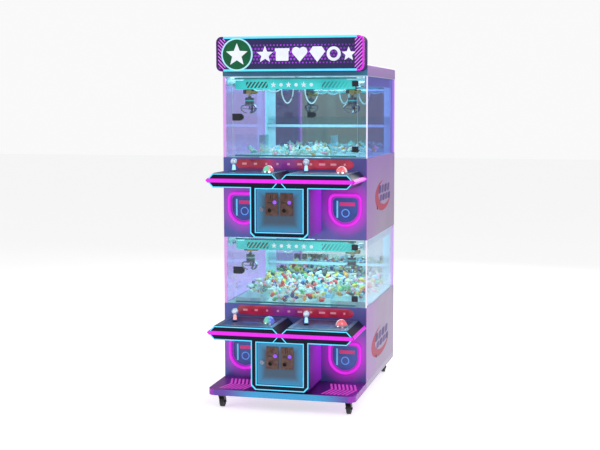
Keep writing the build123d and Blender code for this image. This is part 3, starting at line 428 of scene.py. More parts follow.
def header_print():
    """Aqua header strip: dark hatch on the left, fading hatch on the right."""
    hatch_pitch, hatch_slope = 0.0205, 0.7
    fade_start, fade_end = 0.150, 0.300  # x range of the right hatch
    shader = Shader("header_aqua_print")
    x, _, z = shader.position()
    aqua = shader.noise(6.0, detail=2.0).tint((0.02, 0.42, 0.43), (0.05, 0.56, 0.54))
    stripes = ((x - z * hatch_slope) / hatch_pitch).fract() > 0.45
    band = over_tiers(lambda tier: (z > CHAMBER_TOP_Z[tier] - 0.060)
                      * (z < CHAMBER_TOP_Z[tier] - 0.027))
    left = (x > -0.272) * (x < -0.150)
    right = (x > fade_start) * (x < fade_end)
    fade = x.remap(low=0.85, high=0.10, start=fade_start, end=fade_end)
    colour = shader.mix(stripes * left * band, aqua, (0.01, 0.06, 0.07))
    colour = shader.mix(stripes * right * band * fade, colour, (0.01, 0.10, 0.12))
    shader.finish_principled(
        base_color=colour, emission_color=colour, emission_strength=0.45, roughness=0.25)


def red_strip():
    """Glossy deep red strip with a blue sheen near the middle and small pale dashes."""
    dash_pitch = 0.062
    shader = Shader("red_strip_lit")
    x, _, z = shader.position()
    red = shader.noise(16.0).tint((0.20, 0.006, 0.030), (0.42, 0.012, 0.050))
    sheen = abs(x + 0.055).remap(low=0.45, high=0.0, start=0.02, end=0.13, smooth=True)
    colour = shader.mix(sheen, red, (0.06, 0.03, 0.42))
    # dashes of random length, one to a cell
    cell = (x / dash_pitch).floor()
    across = (x / dash_pitch).fract()
    chance = shader.node(
        "ShaderNodeTexWhiteNoise", {"W": cell}, "Value", noise_dimensions="1D")
    dashes = abs(across - 0.5) < chance.remap(low=0.08, high=0.30)
    line = over_tiers(lambda tier: abs(z - (CONSOLE_Z[tier] + 0.074)) < 0.0055)
    colour = shader.mix(dashes * line * 0.6, colour, (0.75, 0.35, 0.45))
    shader.finish_principled(
        base_color=colour, emission_color=colour, emission_strength=0.35,
        roughness=0.15, coat_weight=0.5)


def control_plate():
    """Brushed grey-violet plate, made bluer by a painted cyan reflection, with a pale-edged blue
    field at each station.
    """
    shader = Shader("control_plate_brushed")
    x, y, _ = shader.position()
    grain = shader.noise(60.0, roughness=0.65, stretch=(0.6, 14, 1))
    # the plate's grey-violet shifted blue: partly its own colour, partly a painted cyan reflection
    base = shader.mix(grain.remap(high=0.9), (0.10, 0.15, 0.27), (0.22, 0.30, 0.46))
    across = abs(abs(x) - STATION_X)
    along = abs(y - depth_y(-0.160))

    def field(border):
        return (across < 0.140 + border) * (along < 0.124 + border)

    blue = shader.noise(18.0).tint((0.022, 0.050, 0.17), (0.045, 0.11, 0.30))
    colour = shader.mix(field(border=0.004), base, (0.25, 0.45, 0.70))
    colour = shader.mix(field(border=0.0), colour, blue)
    shader.finish_principled(
        base_color=colour, metallic=0.45, roughness=grain.remap(low=0.26, high=0.42))


def footplate():
    """Magenta-violet brushed footplate with a painted shadow darkening its middle, its front lip
    pale blue.
    """
    shader = Shader("footplate_violet")
    x, y, z = shader.position()
    grain = shader.noise(55.0, roughness=0.6, stretch=(0.5, 10, 1))
    colour = shader.mix(grain.remap(high=0.8), (0.22, 0.020, 0.36), (0.42, 0.05, 0.56))
    # painted shadow: dark purple across the middle of the footplate
    middle = abs(x).remap(low=0.9, high=0.0, start=0.12, end=0.34, smooth=True)
    colour = shader.mix(middle, colour, (0.018, 0.006, 0.075))
    lip = (y < depth_y(-0.3112)) * (z < 0.1185)
    outer = abs(x - 0.03).remap(start=0.16, end=0.36, smooth=True)
    lip_colour = shader.mix(outer, (0.05, 0.33, 0.62), (0.13, 0.06, 0.36))
    colour = shader.mix(lip, colour, lip_colour)
    grey = shader.mix(grain.remap(high=0.8), (0.30, 0.24, 0.38), (0.44, 0.36, 0.54))
    colour = shader.mix(y > depth_y(0.010), colour, grey)
    shader.finish_principled(
        base_color=colour, metallic=0.4, roughness=grain.remap(low=0.26, high=0.44),
        normal=grain.bump(0.05))


def coin_bay():
    """Violet bay under each console, glowing more towards the back and the top."""
    shader = Shader("coin_bay_violet")
    _, y, z = shader.position()
    mottle = shader.noise(8.0)
    base = mottle.tint((0.06, 0.045, 0.16), (0.10, 0.07, 0.23))
    backness = y.remap(low=0.15, start=depth_y(-0.300), end=depth_y(-0.020), smooth=True)

    def bay_height(tier):
        console_z = CONSOLE_Z[tier]
        rise = z.remap(low=0.45, start=console_z - 0.30, end=console_z - 0.04)
        return rise * (abs(z - (console_z - 0.17)) < 0.15)

    glow = backness * over_tiers(bay_height)
    shader.finish_principled(
        base_color=shader.mix(glow, base, (0.40, 0.04, 0.68)),
        emission_color=shader.mix(glow, BLACK, (0.40, 0.01, 0.68)),
        emission_strength=0.6, metallic=0.3, roughness=mottle.remap(low=0.30, high=0.42))


def coin_door():
    """Brushed blue-grey steel with a blue glow just inside its border."""
    half_width, half_height = 0.122, 0.1085
    shader = Shader("coin_door_steel")
    x, _, z = shader.position()
    grain = shader.noise(55.0, roughness=0.6, stretch=(10, 1, 1))
    base = shader.mix(grain.remap(high=0.7), (0.045, 0.080, 0.130), (0.085, 0.125, 0.185))
    from_side = half_width - abs(x)

    def border_glow(tier):
        from_end = half_height - abs(z - (CONSOLE_Z[tier] - 0.1525))
        border = from_side.minimum(from_end)
        inside = from_end > -0.01
        return border.remap(low=1.0, high=0.0, end=0.050, smooth=True) * inside

    glow = over_tiers(border_glow)
    shader.finish_principled(
        base_color=shader.mix(glow, base, (0.04, 0.17, 0.32)),
        emission_color=shader.mix(glow, BLACK, (0.01, 0.17, 0.32)),
        emission_strength=0.5, metallic=0.5, roughness=grain.remap(low=0.28, high=0.42))


def button_dome(name, side, left, right, tilt):
    """Translucent lit dome in two colours, one of them a painted reflection; tilt slants the line
    where they meet.
    """
    shader = Shader(name)
    x, y, _ = shader.position()
    centre_x = SIDES[side] * STATION_X + BUTTON_OFFSET_X
    across = (x - centre_x) + (y - depth_y(BUTTON_DEPTH)) * tilt
    colour = shader.mix(across.remap(start=-0.010, end=0.010, smooth=True), left, right)
    haze = shader.noise(45.0, detail=2.0).remap(high=0.25)
    colour = shader.mix(haze, colour, (0.9, 0.95, 1.0))
    shader.finish_principled(
        base_color=colour, emission_color=colour, emission_strength=0.45,
        roughness=0.10, coat_weight=0.8)


def prize_flap():
    """Translucent blue flap with a thin ring, a red bar and a pale upright stripe."""
    shader = Shader("flap_blue")
    x, _, z = shader.position()
    mottle = shader.noise(10.0)
    across = x - x.sign() * OUTLET_X

    def red_bar(tier):
        height = abs(z - (CONSOLE_Z[tier] - 0.138))
        return (height < 0.0095) * (abs(across - 0.010) < 0.042)

    def pale_stripe(tier):
        height = abs(z - (CONSOLE_Z[tier] - OUTLET_DROP))
        return (height < 0.046) * (abs(across + 0.045) < 0.0045)

    def ring(tier):
        height = z - (CONSOLE_Z[tier] - 0.186)
        radius = (across * across + height * height).sqrt()
        return abs(radius - 0.020) < 0.0028

    colour = mottle.tint((0.020, 0.045, 0.20), (0.035, 0.075, 0.30))
    colour = shader.mix(over_tiers(ring), colour, (0.10, 0.30, 0.75))
    colour = shader.mix(over_tiers(red_bar), colour, (0.55, 0.015, 0.16))
    colour = shader.mix(over_tiers(pale_stripe), colour, (0.12, 0.55, 0.75))
    solid = shader.principled(
        base_color=colour, emission_color=colour, emission_strength=0.40, roughness=0.15)
    transparent = shader.node("ShaderNodeBsdfTransparent", {"Color": (0.5, 0.6, 1.0)})
    opacity = mottle.remap(low=0.88, high=0.95)
    shader.finish(shader.node("ShaderNodeMixShader", {0: opacity, 1: transparent, 2: solid}))


def stick_ball():
    """Clear joystick ball, pale face-on and blue at the rim as painted refraction and reflection,
    with darker blue cells inside.
    """
    shader = Shader("stick_ball_clear")
    # painted refraction and reflection: pale where the ball faces the view, blue towards its rim
    colour = shader.mix(shader.facing(0.5), (0.85, 0.93, 1.0), (0.25, 0.42, 0.75))
    cells = shader.node(
        "ShaderNodeTexVoronoi", {"Scale": 95.0, "Vector": shader.vector}, "Color")
    darkness = shader.node("ShaderNodeSeparateColor", {0: cells}).remap(high=0.55)
    colour = shader.mix(darkness, colour, (0.10, 0.16, 0.42))
    shader.finish_principled(
        base_color=colour, emission_color=colour, emission_strength=0.12,
        roughness=0.06, coat_weight=1.0)


def stage_pale():
    """Almost white floor with a little light of its own."""
    base = (0.93, 0.93, 0.93)
    shader = Shader("floor_pale")
    shader.finish_principled(
        base_color=shader.noise(1.2, detail=2.0).tint(scaled(base, 0.985), base),
        roughness=0.7, emission_color=(1.0, 1.0, 1.0), emission_strength=0.60)


# material name, left colour, right colour, tilt of the line between them; one colour of each dome
# is a painted reflection, the white on the red domes a painted highlight
DOMES = {
    ("lower", "left"): ("dome_green_blue", (0.02, 0.48, 0.30), (0.03, 0.08, 0.75), 0.35),
    ("lower", "right"): ("dome_painted_highlight_red", (0.85, 0.75, 0.75), (0.72, 0.02, 0.05), -1.2),
    ("upper", "left"): ("dome_green_red", (0.03, 0.55, 0.28), (0.68, 0.05, 0.07), 0.35),
    ("upper", "right"): ("dome_red_painted_highlight", (0.74, 0.02, 0.04), (0.80, 0.62, 0.60), 1.2),
}

for *look, extras in COATED:
    coated(*look, **extras)
for look in LIT:
    lit(*look)
lit("symbol_white_lit", (0.80, 0.84, 0.95), edge=None, strength=0.80, contrast=0.06,
    scale=20.0, body=0.3)
for look in CLEAR:
    clear(*look)
for (_, side), (name, left, right, tilt) in DOMES.items():
    button_dome(name, side, left, right, tilt)
for key, colour in PRIZE_COLOURS.items():
    plush("prize_" + key, colour)
for make_material in (
    darkened_teal_mirror, side_sheet, front_sheet, marquee_face, header_print, red_strip,
    control_plate, footplate, coin_bay, coin_door, prize_flap, stick_ball, stage_pale,
):
    make_material()


# ------------------------------------------------------------------ painting the CAD pieces
def paint(part, names, rule=None):
    """Gives a part its materials; rule(x, y, z, normal) picks the slot of each face.

    A rule may answer with a truth value, where True is the second slot.
    """
    mesh = parts[part].data
    mesh.materials.clear()
    for name in names:
        mesh.materials.append(materials[name])
    if rule:
        for polygon in mesh.polygons:
            polygon.material_index = int(rule(*polygon.center, polygon.normal))


def fixed_glass_slot(x, y, z, normal):
    if abs(x) <= 0.3934 or y <= depth_y(0.014):
        return 0  # front panes
    return 1 if x > 0 and z < 0.95 else 2  # lower right side pane, other side panes


def in_coin_bay(x, y, z, normal):
    return y > depth_y(-0.310) and any(
        console_z - 0.30 < z < console_z - 0.0415 for console_z in CONSOLE_Z.values())


def control_plate_slot(x, y, z, normal):
    tier = "upper" if z > 0.9 else "lower"
    if z < CONSOLE_Z[tier] + 0.0365:
        return 3  # below the top face
    for side in SIDES.values():
        button_x = side * STATION_X + BUTTON_OFFSET_X
        if math.hypot(x - button_x, y - depth_y(BUTTON_DEPTH)) < 0.0349:
            return 1  # button bezel
        display_x = side * STATION_X + 0.006
        if abs(x - display_x) < 0.0350 and abs(y - depth_y(-0.196)) < 0.0150:
            return 2  # display
    return 0


def magenta_tube_slot(x, y, z, normal):
    if z < 1.775 and y > depth_y(0.0002) and abs(x) > 0.383:  # window corner bars
        if y > depth_y(0.840):
            return 4  # rear
        return 1 if x < 0 else 3  # front left, front right
    return 2 if z > 1.79 and x < -0.3 else 0  # marquee's left end, all the rest


def marquee_face_slot(x, y, z, normal):
    radius = math.hypot(x - BADGE_X, z - BADGE_Z)
    if y > depth_y(-0.10103):
        return 0
    if radius >= BADGE_RADIUS + 0.0005:
        return 1  # raised symbols
    if y < depth_y(-0.1092):
        return 2 if radius > BADGE_RADIUS - 0.0072 else 1  # rim, badge symbol
    if radius > BADGE_RADIUS - 0.0075 and normal.y > -0.9:
        return 2  # side of the rim
    return 3 if y < depth_y(-0.105) else 0  # badge ground, face behind it


def paint_shared_parts():
    for part, name in (
        ("front_panels", "front_sheet_violet"), ("prize_decks", "deck_white"),
        ("display_frames", "frame_white"), ("cyan_led_tubes", "led_cyan_mat"),
        ("marquee_housing", "marquee_box_navy"), ("panel_screws", "screw_zinc"),
    ):
        paint(part, [name])
    paint("base_platform", ["footplate_violet", "black_bracket"],
          lambda x, y, z, normal: z < 0.0845)
    paint("side_rear_panels", ["side_sheet_lilac", "rear_sheet_grey"],
          lambda x, y, z, normal: y > depth_y(0.8669))
    paint("roof_panel", ["roof_steel_blue", "side_sheet_lilac"],
          lambda x, y, z, normal: abs(normal.x) > 0.3 or y > depth_y(0.869))
    paint("rear_mirrors", ["mirror_painted_teal_reflection", "rear_sheet_grey"],
          lambda x, y, z, normal: normal.y >= -0.5)
    paint("fixed_glass", ["pane_clear", "pane_side_clear", "pane_side_violet"],
          fixed_glass_slot)
    paint("console_housings", ["console_black", "coin_bay_violet"], in_coin_bay)
    paint("control_plates",
          ["control_plate_brushed", "bezel_chrome", "display_blue", "black_bracket"],
          control_plate_slot)
    paint("magenta_led_tubes",
          ["led_magenta_mat", "led_magenta_soft", "led_magenta_dim", "pane_edge_lit",
           "led_pink_post"], magenta_tube_slot)
    paint("marquee_face",
          ["marquee_smoked_face", "symbol_white_lit", "badge_rim_lit", "badge_green"],
          marquee_face_slot)
    paint("printed_panels", ["header_aqua_print", "red_strip_lit"],
          lambda x, y, z, normal: y < depth_y(0.004))


def paint_tier(tier):
    """Paints the door, the coin door and the acceptors of one tier."""
    console_z = CONSOLE_Z[tier]
    door_bottom = DECK_Z[tier] + 0.006
    door_top = CHAMBER_TOP_Z[tier] - 0.005
    gasket_height = 0.0081

    def is_gasket(x, y, z, normal):
        return z < door_bottom + gasket_height or z > door_top - gasket_height

    def is_lock(x, y, z, normal):
        near = math.hypot(x + 0.094, z - (console_z - 0.144)) < 0.0135
        return near and y < depth_y(-0.3132) and x < -0.07

    def acceptor_slot(x, y, z, normal):
        drop = console_z - z
        for acceptor_x in (-0.039, 0.0395):
            across = x - acceptor_x
            if math.hypot(across - 0.016, drop - 0.108) < 0.0098 and y < depth_y(-0.317):
                return 2  # button
            if math.hypot(across + 0.011, drop - 0.150) < 0.0104:
                return 1  # round recess
            if (abs(across + 0.005) < 0.0016 and abs(drop - 0.080) < 0.0115
                    and y < depth_y(-0.3135)):
                return 1  # upright slot
            if (abs(across + 0.012) < 0.0101 and abs(drop - 0.110) < 0.0031
                    and y > depth_y(-0.317)):
                return 1  # level slot
        return 0

    paint(f"glass_door_{tier}", ["pane_door", "pane_edge_aqua"],
          lambda x, y, z, normal: abs(normal.x) > 0.7 or abs(normal.z) > 0.7)
    paint(f"glass_door_fittings_{tier}", ["fitting_dark", "gasket_teal"], is_gasket)
    paint(f"coin_door_{tier}", ["coin_door_steel", "lock_chrome"], is_lock)
    paint(f"coin_acceptors_{tier}", ["acceptor_metal", "slot_black", "return_button_violet"],
          acceptor_slot)


def paint_station(tier, side):
    """Paints the flap, the controls and the crane of one station."""
    console_z = CONSOLE_Z[tier]
    top_z = CHAMBER_TOP_Z[tier]
    trolley_x = SIDES[side] * TROLLEY_X
    station = f"{tier}_{side}"

    def stick_slot(x, y, z, normal):
        height = z - console_z
        if height > 0.0765:
            return 0  # ball
        return 1 if height > 0.0497 else 2  # lit shaft, chrome shaft

    def is_rod(x, y, z, normal):
        return any(
            abs(z - (top_z - 0.055)) < 0.0056 and abs(y - depth_y(depth)) < 0.0056
            for depth in (0.118, 0.162))

    def is_motor(x, y, z, normal):
        above = z > top_z - 0.0449 and abs(x - trolley_x) > 0.0125
        return above or (z < top_z - 0.0661 and x > trolley_x - 0.0151)

    def claw_slot(x, y, z, normal):
        height = z - top_z
        if -0.1315 < height < -0.1245:
            return 2  # lit ring
        return 1 if -0.1495 < height < -0.1005 else 0  # head, fingers

    paint(f"prize_flap_{station}", ["flap_blue"])
    paint(f"push_button_{station}", [DOMES[tier, side][0]])
    paint(f"joystick_gimbal_{station}", ["gimbal_nylon"])
    shaft = "shaft_red_lit" if station == "lower_left" else "shaft_blue_lit"
    paint(f"joystick_{station}", ["stick_ball_clear", shaft, "lock_chrome"], stick_slot)
    paint(f"crane_bridge_{station}", ["crane_paint", "ground_rod"], is_rod)
    paint(f"crane_trolley_{station}", ["winch_dark", "motor_gold"], is_motor)
    paint(f"claw_{station}", ["claw_chrome", "claw_head_dark", "claw_ring_teal"], claw_slot)


def in_hub(x, y, z, normal):
    axle_y = depth_y(-0.204) if y < 0 else depth_y(0.818)
    return math.hypot(y - axle_y, z - 0.030) < 0.0193


paint_shared_parts()
for tier in TIERS:
    paint_tier(tier)
    for side in SIDES:
        paint_station(tier, side)
for corner in ("front_left", "front_right", "rear_left", "rear_right"):
    paint(f"caster_fork_{corner}", ["fork_black_zinc"])
    paint(f"caster_wheel_{corner}", ["tyre_rubber", "hub_grey"], in_hub)


# ------------------------------------------------------------------ mesh helpers
def make_object(name, bm, names, smooth=False):
    """Turns a bmesh into a linked object with the named materials."""
    mesh = bpy.data.meshes.new(name)
    bm.normal_update()
    bm.to_mesh(mesh)
    bm.free()
    return link_mesh(name, mesh, names, smooth)


def link_mesh(name, mesh, names, smooth):
    for material in names:
        mesh.materials.append(materials[material])
    if smooth:
        for polygon in mesh.polygons:
            polygon.use_smooth = True
    obj = bpy.data.objects.new(name, mesh)
    bpy.context.scene.collection.objects.link(obj)
    return obj


def make_cabinet_piece(name, bm, names):
    obj = make_object(name, bm, names)
    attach(obj, "cabinet")


def add_prism(bm, points, origin, across, up, thickness, slot=0):
    """A flat outline on the plane of across and up, thickened along its normal."""
    origin, across, up = Vector(origin), Vector(across), Vector(up)
    normal = across.cross(up).normalized()
    near = [bm.verts.new(origin + across * u + up * v) for u, v in points]
    far = [bm.verts.new(origin + across * u + up * v + normal * thickness) for u, v in points]
    faces = [bm.faces.new(list(reversed(near))), bm.faces.new(far)]
    for i in range(len(points)):
        j = (i + 1) % len(points)
        faces.append(bm.faces.new((near[i], near[j], far[j], far[i])))
    for face in faces:
        face.material_index = slot


def add_tube(bm, points, radius, segments=8):
    """A round tube along a line of points, closed at both ends."""
    points = [Vector(point) for point in points]
    last = len(points) - 1
    vertical = Vector((0.0, 0.0, 1.0))
    rings = []
    for i, point in enumerate(points):
        along = points[min(i + 1, last)] - points[max(i - 1, 0)]
        along.normalize()
        reference = vertical if abs(along.dot(vertical)) < 0.95 else Vector((1, 0, 0))
        first = along.cross(reference).normalized()
        second = along.cross(first).normalized()
        ring = []
        for k in range(segments):
            angle = 2 * math.pi * k / segments
            offset = first * (radius * math.cos(angle)) + second * (radius * math.sin(angle))
            ring.append(bm.verts.new(point + offset))
        rings.append(ring)
    for ring, following in zip(rings, rings[1:]):
        for k in range(segments):
            j = (k + 1) % segments
            bm.faces.new((ring[k], ring[j], following[j], following[k]))
    bm.faces.new(list(reversed(rings[0])))
    bm.faces.new(rings[-1])


def add_rounded_box(bm, centre, size, bevel=0.001):
    box = bmesh.new()
    bmesh.ops.create_cube(box, size=1.0)
    for vert in box.verts:
        vert.co = Vector([place * length for place, length in zip(vert.co, size)])
    bmesh.ops.bevel(
        box, geom=box.edges[:], offset=bevel, segments=2, affect="EDGES", profile=0.6)
    for vert in box.verts:
        vert.co = vert.co + Vector(centre)
    mesh = bpy.data.meshes.new("box")
    box.to_mesh(mesh)
    box.free()
    bm.from_mesh(mesh)
    bpy.data.meshes.remove(mesh)


def circle(radius, count):
    angles = [2 * math.pi * k / count for k in range(count)]
    return [(radius * math.cos(angle), radius * math.sin(angle)) for angle in angles]


# ------------------------------------------------------------------ flat graphics and locks
def make_chevrons():
    """Two rows of seven chevrons lying on the footplate, pointing right."""
    count, pitch, width, reach = 7, 0.0215, 0.0115, 0.030
    front, middle, back = depth_y(-0.286), depth_y(-0.172), depth_y(-0.058)
    bm = bmesh.new()
    for first_x in (-0.345, 0.213):
        for k in range(count):
            x = first_x + k * pitch
            points = [
                (x, front), (x + width, front), (x + width + reach, middle),
                (x + width, back), (x, back), (x + reach, middle),
            ]
            add_prism(bm, points, (0, 0, 0.1201), (1, 0, 0), (0, 1, 0), thickness=0.0004)
    make_cabinet_piece("footplate_chevrons", bm, ["chevron_pink"])


def add_side_prism(bm, points, x, depth, z, side, thickness, slot):
    """A prism on the outside of the left (-1) or right (1) side sheet."""
    add_prism(bm, points, (x, depth_y(depth), z), (0, side, 0), (0, 0, 1), thickness, slot)


def crescent_outline(half_width, half_height):
    """Crescent that sweeps round the lower front of the decal."""
    outer, inner = [], []
    for k in range(33):
        angle = math.radians(98 + 238 * k / 32)
        cosine, sine = math.cos(angle), math.sin(angle)
        outer.append((half_width * 0.05 + half_width * 1.02 * cosine, half_height * 1.02 * sine))
        inner.append((half_width * 0.27 + half_width * 0.84 * cosine,
                      half_height * (0.20 + 0.84 * sine)))
    return outer + inner[::-1]


def block_outline(centre_u, centre_v, half_width, half_height):
    """Rounded block, slanted by its height."""
    roundness, slant = 0.45, 0.35
    points = []
    for k in range(24):
        angle = 2 * math.pi * k / 24
        cosine, sine = math.cos(angle), math.sin(angle)
        u = half_width * math.copysign(abs(cosine) ** roundness, cosine)
        v = half_height * math.copysign(abs(sine) ** roundness, sine)
        points.append((centre_u + u + slant * v, centre_v + v))
    return points


# depth behind the front sheet, z, half width, half height
DECALS = {"lower": (0.408, 0.276, 0.27, 0.082), "upper": (0.473, 1.107, 0.24, 0.084)}
# height of a row, half height of its blocks, block places; parts of the decal's half sizes
BLOCK_ROWS = (
    (0.45, 0.27, (-0.38, 0.00, 0.38, 0.76)),
    (-0.14, 0.22, (-0.24, 0.12, 0.48, 0.84)),
)


def make_side_decals():
    """A red crescent round two rows of violet and mauve blocks, on both side sheets."""
    bm = bmesh.new()
    for tier in TIERS:
        depth, z, half_width, half_height = DECALS[tier]
        shapes = [(crescent_outline(half_width, half_height), 0)]
        for row, (level, block_height, places) in enumerate(BLOCK_ROWS):
            for k, place in enumerate(places):
                block = block_outline(
                    place * half_width, level * half_height,
                    0.155 * half_width, half_height * block_height)
                shapes.append((block, 1 + (k + row) % 2))
        for side in SIDES.values():
            for points, slot in shapes:
                if side < 0:
                    points = [(-u, v) for u, v in reversed(points)]
                add_side_prism(bm, points, side * (SIDE_X + 0.00005), depth, z, side,
                               thickness=0.0003, slot=slot)
    make_cabinet_piece(
        "side_decals", bm, ["decal_red", "decal_violet", "decal_mauve"])


def make_side_locks():
    """Small round locks with an upright keyhole, low on each tier's side sheets."""
    thickness = 0.003
    keyhole = [(-0.0012, -0.005), (0.0012, -0.005), (0.0012, 0.005), (-0.0012, 0.005)]
    bm = bmesh.new()
    for depth, z in ((0.292, 0.209), (0.305, 1.047)):
        for side in SIDES.values():
            add_side_prism(bm, circle(0.009, 20), side * SIDE_X, depth, z, side,
                           thickness=thickness, slot=0)
            add_side_prism(bm, keyhole, side * (SIDE_X + thickness), depth, z, side,
                           thickness=0.0004, slot=1)
    make_cabinet_piece("side_locks", bm, ["fitting_dark", "lock_chrome"])


def make_header_motif():
    """White stars and dots by turns along the middle of each header."""
    first_x, pitch = -0.118, 0.042
    star = []
    for k in range(10):
        radius = 0.0165 if k % 2 == 0 else 0.0072
        angle = math.pi / 2 + math.pi * k / 5
        star.append((radius * math.cos(angle), radius * math.sin(angle)))
    dot = circle(0.0095, 18)
    bm = bmesh.new()
    for tier in TIERS:
        z = CHAMBER_TOP_Z[tier] - 0.0435
        for k in range(6):
            origin = (first_x + k * pitch, depth_y(0.01199), z)
            points = star if k % 2 == 0 else dot
            add_prism(bm, points, origin, (1, 0, 0), (0, 0, 1), thickness=0.0010)
    make_cabinet_piece("header_motif", bm, ["symbol_white_lit"])


def make_light_strips():
    """LED strips along the sides and the back of each chamber ceiling."""
    bm = bmesh.new()
    for tier in TIERS:
        top_z = CHAMBER_TOP_Z[tier]
        for side in SIDES.values():
            add_rounded_box(bm, centre=(side * 0.3715, depth_y(0.440), top_z - 0.0035),
                            size=(0.010, 0.76, 0.006))
            add_rounded_box(bm, centre=(side * 0.2, depth_y(0.846), top_z - 0.014),
                            size=(0.32, 0.008, 0.010))
    make_cabinet_piece("chamber_light_strips", bm, ["led_cyan_soft"])


make_chevrons()
make_side_decals()
make_side_locks()
make_header_motif()
make_light_strips()

# ------------------------------------------------------------------ prizes
# each toy is a list of ellipsoids: centre, radii, and 0 for its main colour or 1 for its second
TOYS = {
    "bear": [
        ((0, 0, 0), (0.62, 0.5, 0.72), 0), ((0, -0.08, 0.85), (0.55, 0.5, 0.5), 0),
        ((-0.42, -0.05, 1.26), (0.2, 0.12, 0.2), 1), ((0.42, -0.05, 1.26), (0.2, 0.12, 0.2), 1),
        ((0, -0.52, 0.76), (0.22, 0.16, 0.17), 1),
        ((-0.6, -0.1, 0.15), (0.2, 0.2, 0.4), 0), ((0.6, -0.1, 0.15), (0.2, 0.2, 0.4), 0),
    ],
    "bunny": [
        ((0, 0, 0), (0.55, 0.5, 0.6), 0), ((0, -0.05, 0.75), (0.48, 0.45, 0.45), 0),
        ((-0.2, 0, 1.4), (0.13, 0.1, 0.45), 1), ((0.2, 0, 1.4), (0.13, 0.1, 0.45), 1),
    ],
    "pill": [((0, 0, -0.3), (0.6, 0.6, 0.62), 0), ((0, 0, 0.3), (0.58, 0.58, 0.62), 1)],
    "fish": [((0, 0, 0), (1.0, 0.34, 0.5), 0), ((-1.1, 0, 0), (0.32, 0.10, 0.5), 1)],
    "bean": [((0, 0, 0), (1.0, 0.42, 0.36), 0), ((0.75, 0, 0.1), (0.34, 0.44, 0.40), 1)],
}
# how many shares of the draw each colour has
COLOUR_SHARES = {
    "lower": {"black": 2, "white": 8, "cream": 3, "red": 4, "yellow": 4, "navy": 3,
              "green": 2, "pink": 2, "sky": 2, "orange": 1, "mint": 2},
    "upper": {"black": 1, "mint": 5, "white": 5, "cream": 4, "pink": 2, "sky": 2, "orange": 1},
}
# grid step, number of layers, smallest and largest toy size
HEAPS = {"lower": (0.058, 2, 0.020, 0.027), "upper": (0.056, 1, 0.015, 0.021)}


def ellipsoid(centre, radii, rotation, segments=8, rings=6):
    verts, faces = [], []
    for i in range(rings + 1):
        polar = math.pi * i / rings
        for k in range(segments):
            turn = 2 * math.pi * k / segments
            local = Vector((
                radii[0] * math.sin(polar) * math.cos(turn),
                radii[1] * math.sin(polar) * math.sin(turn),
                radii[2] * math.cos(polar)))
            verts.append(rotation @ local + centre)
    for i in range(rings):
        for k in range(segments):
            j = (k + 1) % segments
            a, b = i * segments + k, i * segments + j
            c, d = a + segments, b + segments
            if i == 0:
                faces.append((a, c, d))
            elif i == rings - 1:
                faces.append((a, c, b))
            else:
                faces.append((a, c, d, b))
    return verts, faces


def toy(kind, centre, size, rotation):
    """One prize as vertices, faces and the colour index of each face."""
    verts, faces, colours = [], [], []
    for place, radii, colour in TOYS[kind]:
        middle = rotation @ (Vector(place) * size) + centre
        new_verts, new_faces = ellipsoid(middle, [radius * size for radius in radii], rotation)
        start = len(verts)
        verts += new_verts
        faces += [tuple(i + start for i in face) for face in new_faces]
        colours += [colour] * len(new_faces)
    return verts, faces, colours


def heap_height(tier, x, depth):
    """Height of the heap above the deck, rising towards the back."""
    backness = min(1.0, max(0.0, (depth - 0.10) / 0.65))
    if tier == "lower":
        return 0.012 + 0.026 * backness + 0.003 * math.sin(9 * x + 4 * depth)
    return 0.008 + 0.016 * backness + 0.004 * math.sin(8 * x)


def on_deck(x, depth):
    """Inside the chamber, and in its front part only between the two outlets."""
    between = abs(x) < 0.168 and depth > 0.032
    return abs(x) < 0.356 and depth < 0.815 and (depth > 0.232 or between)


def add_prize(rng, tier, layer, x, depth, piles):
    """Drops one random toy into the piles, which hold vertices and faces by colour."""
    _, _, smallest, largest = HEAPS[tier]
    deck_z = DECK_Z[tier]
    clearance = 0.0006
    heap = heap_height(tier, x, depth)
    size = rng.uniform(smallest, largest)
    lift = heap * rng.uniform(0.35, 1.0) * (0.6 + 0.4 * layer)
    z = deck_z + size * 0.9 + layer * 0.018 + lift
    rotation = (Matrix.Rotation(rng.uniform(0, 6.28), 3, "Z")
                @ Matrix.Rotation(rng.uniform(-1.5, 1.5), 3, "X")
                @ Matrix.Rotation(rng.uniform(-0.8, 0.8), 3, "Y"))
    kind = rng.choice(list(TOYS))
    draw = [name for name, shares in COLOUR_SHARES[tier].items() for _ in range(shares)]
    pair = (rng.choice(draw), rng.choice(draw))
    verts, faces, colours = toy(kind, Vector((x, depth_y(depth), z)), size, rotation)
    lowest = min(vert.z for vert in verts)
    if lowest < deck_z + clearance:
        verts = [vert + Vector((0, 0, deck_z + clearance - lowest)) for vert in verts]
    for face, colour in zip(faces, colours):
        pile_verts, pile_faces = piles.setdefault(pair[colour], ([], []))
        start = len(pile_verts)
        pile_verts.extend(verts[i] for i in face)
        pile_faces.append(tuple(range(start, start + len(face))))


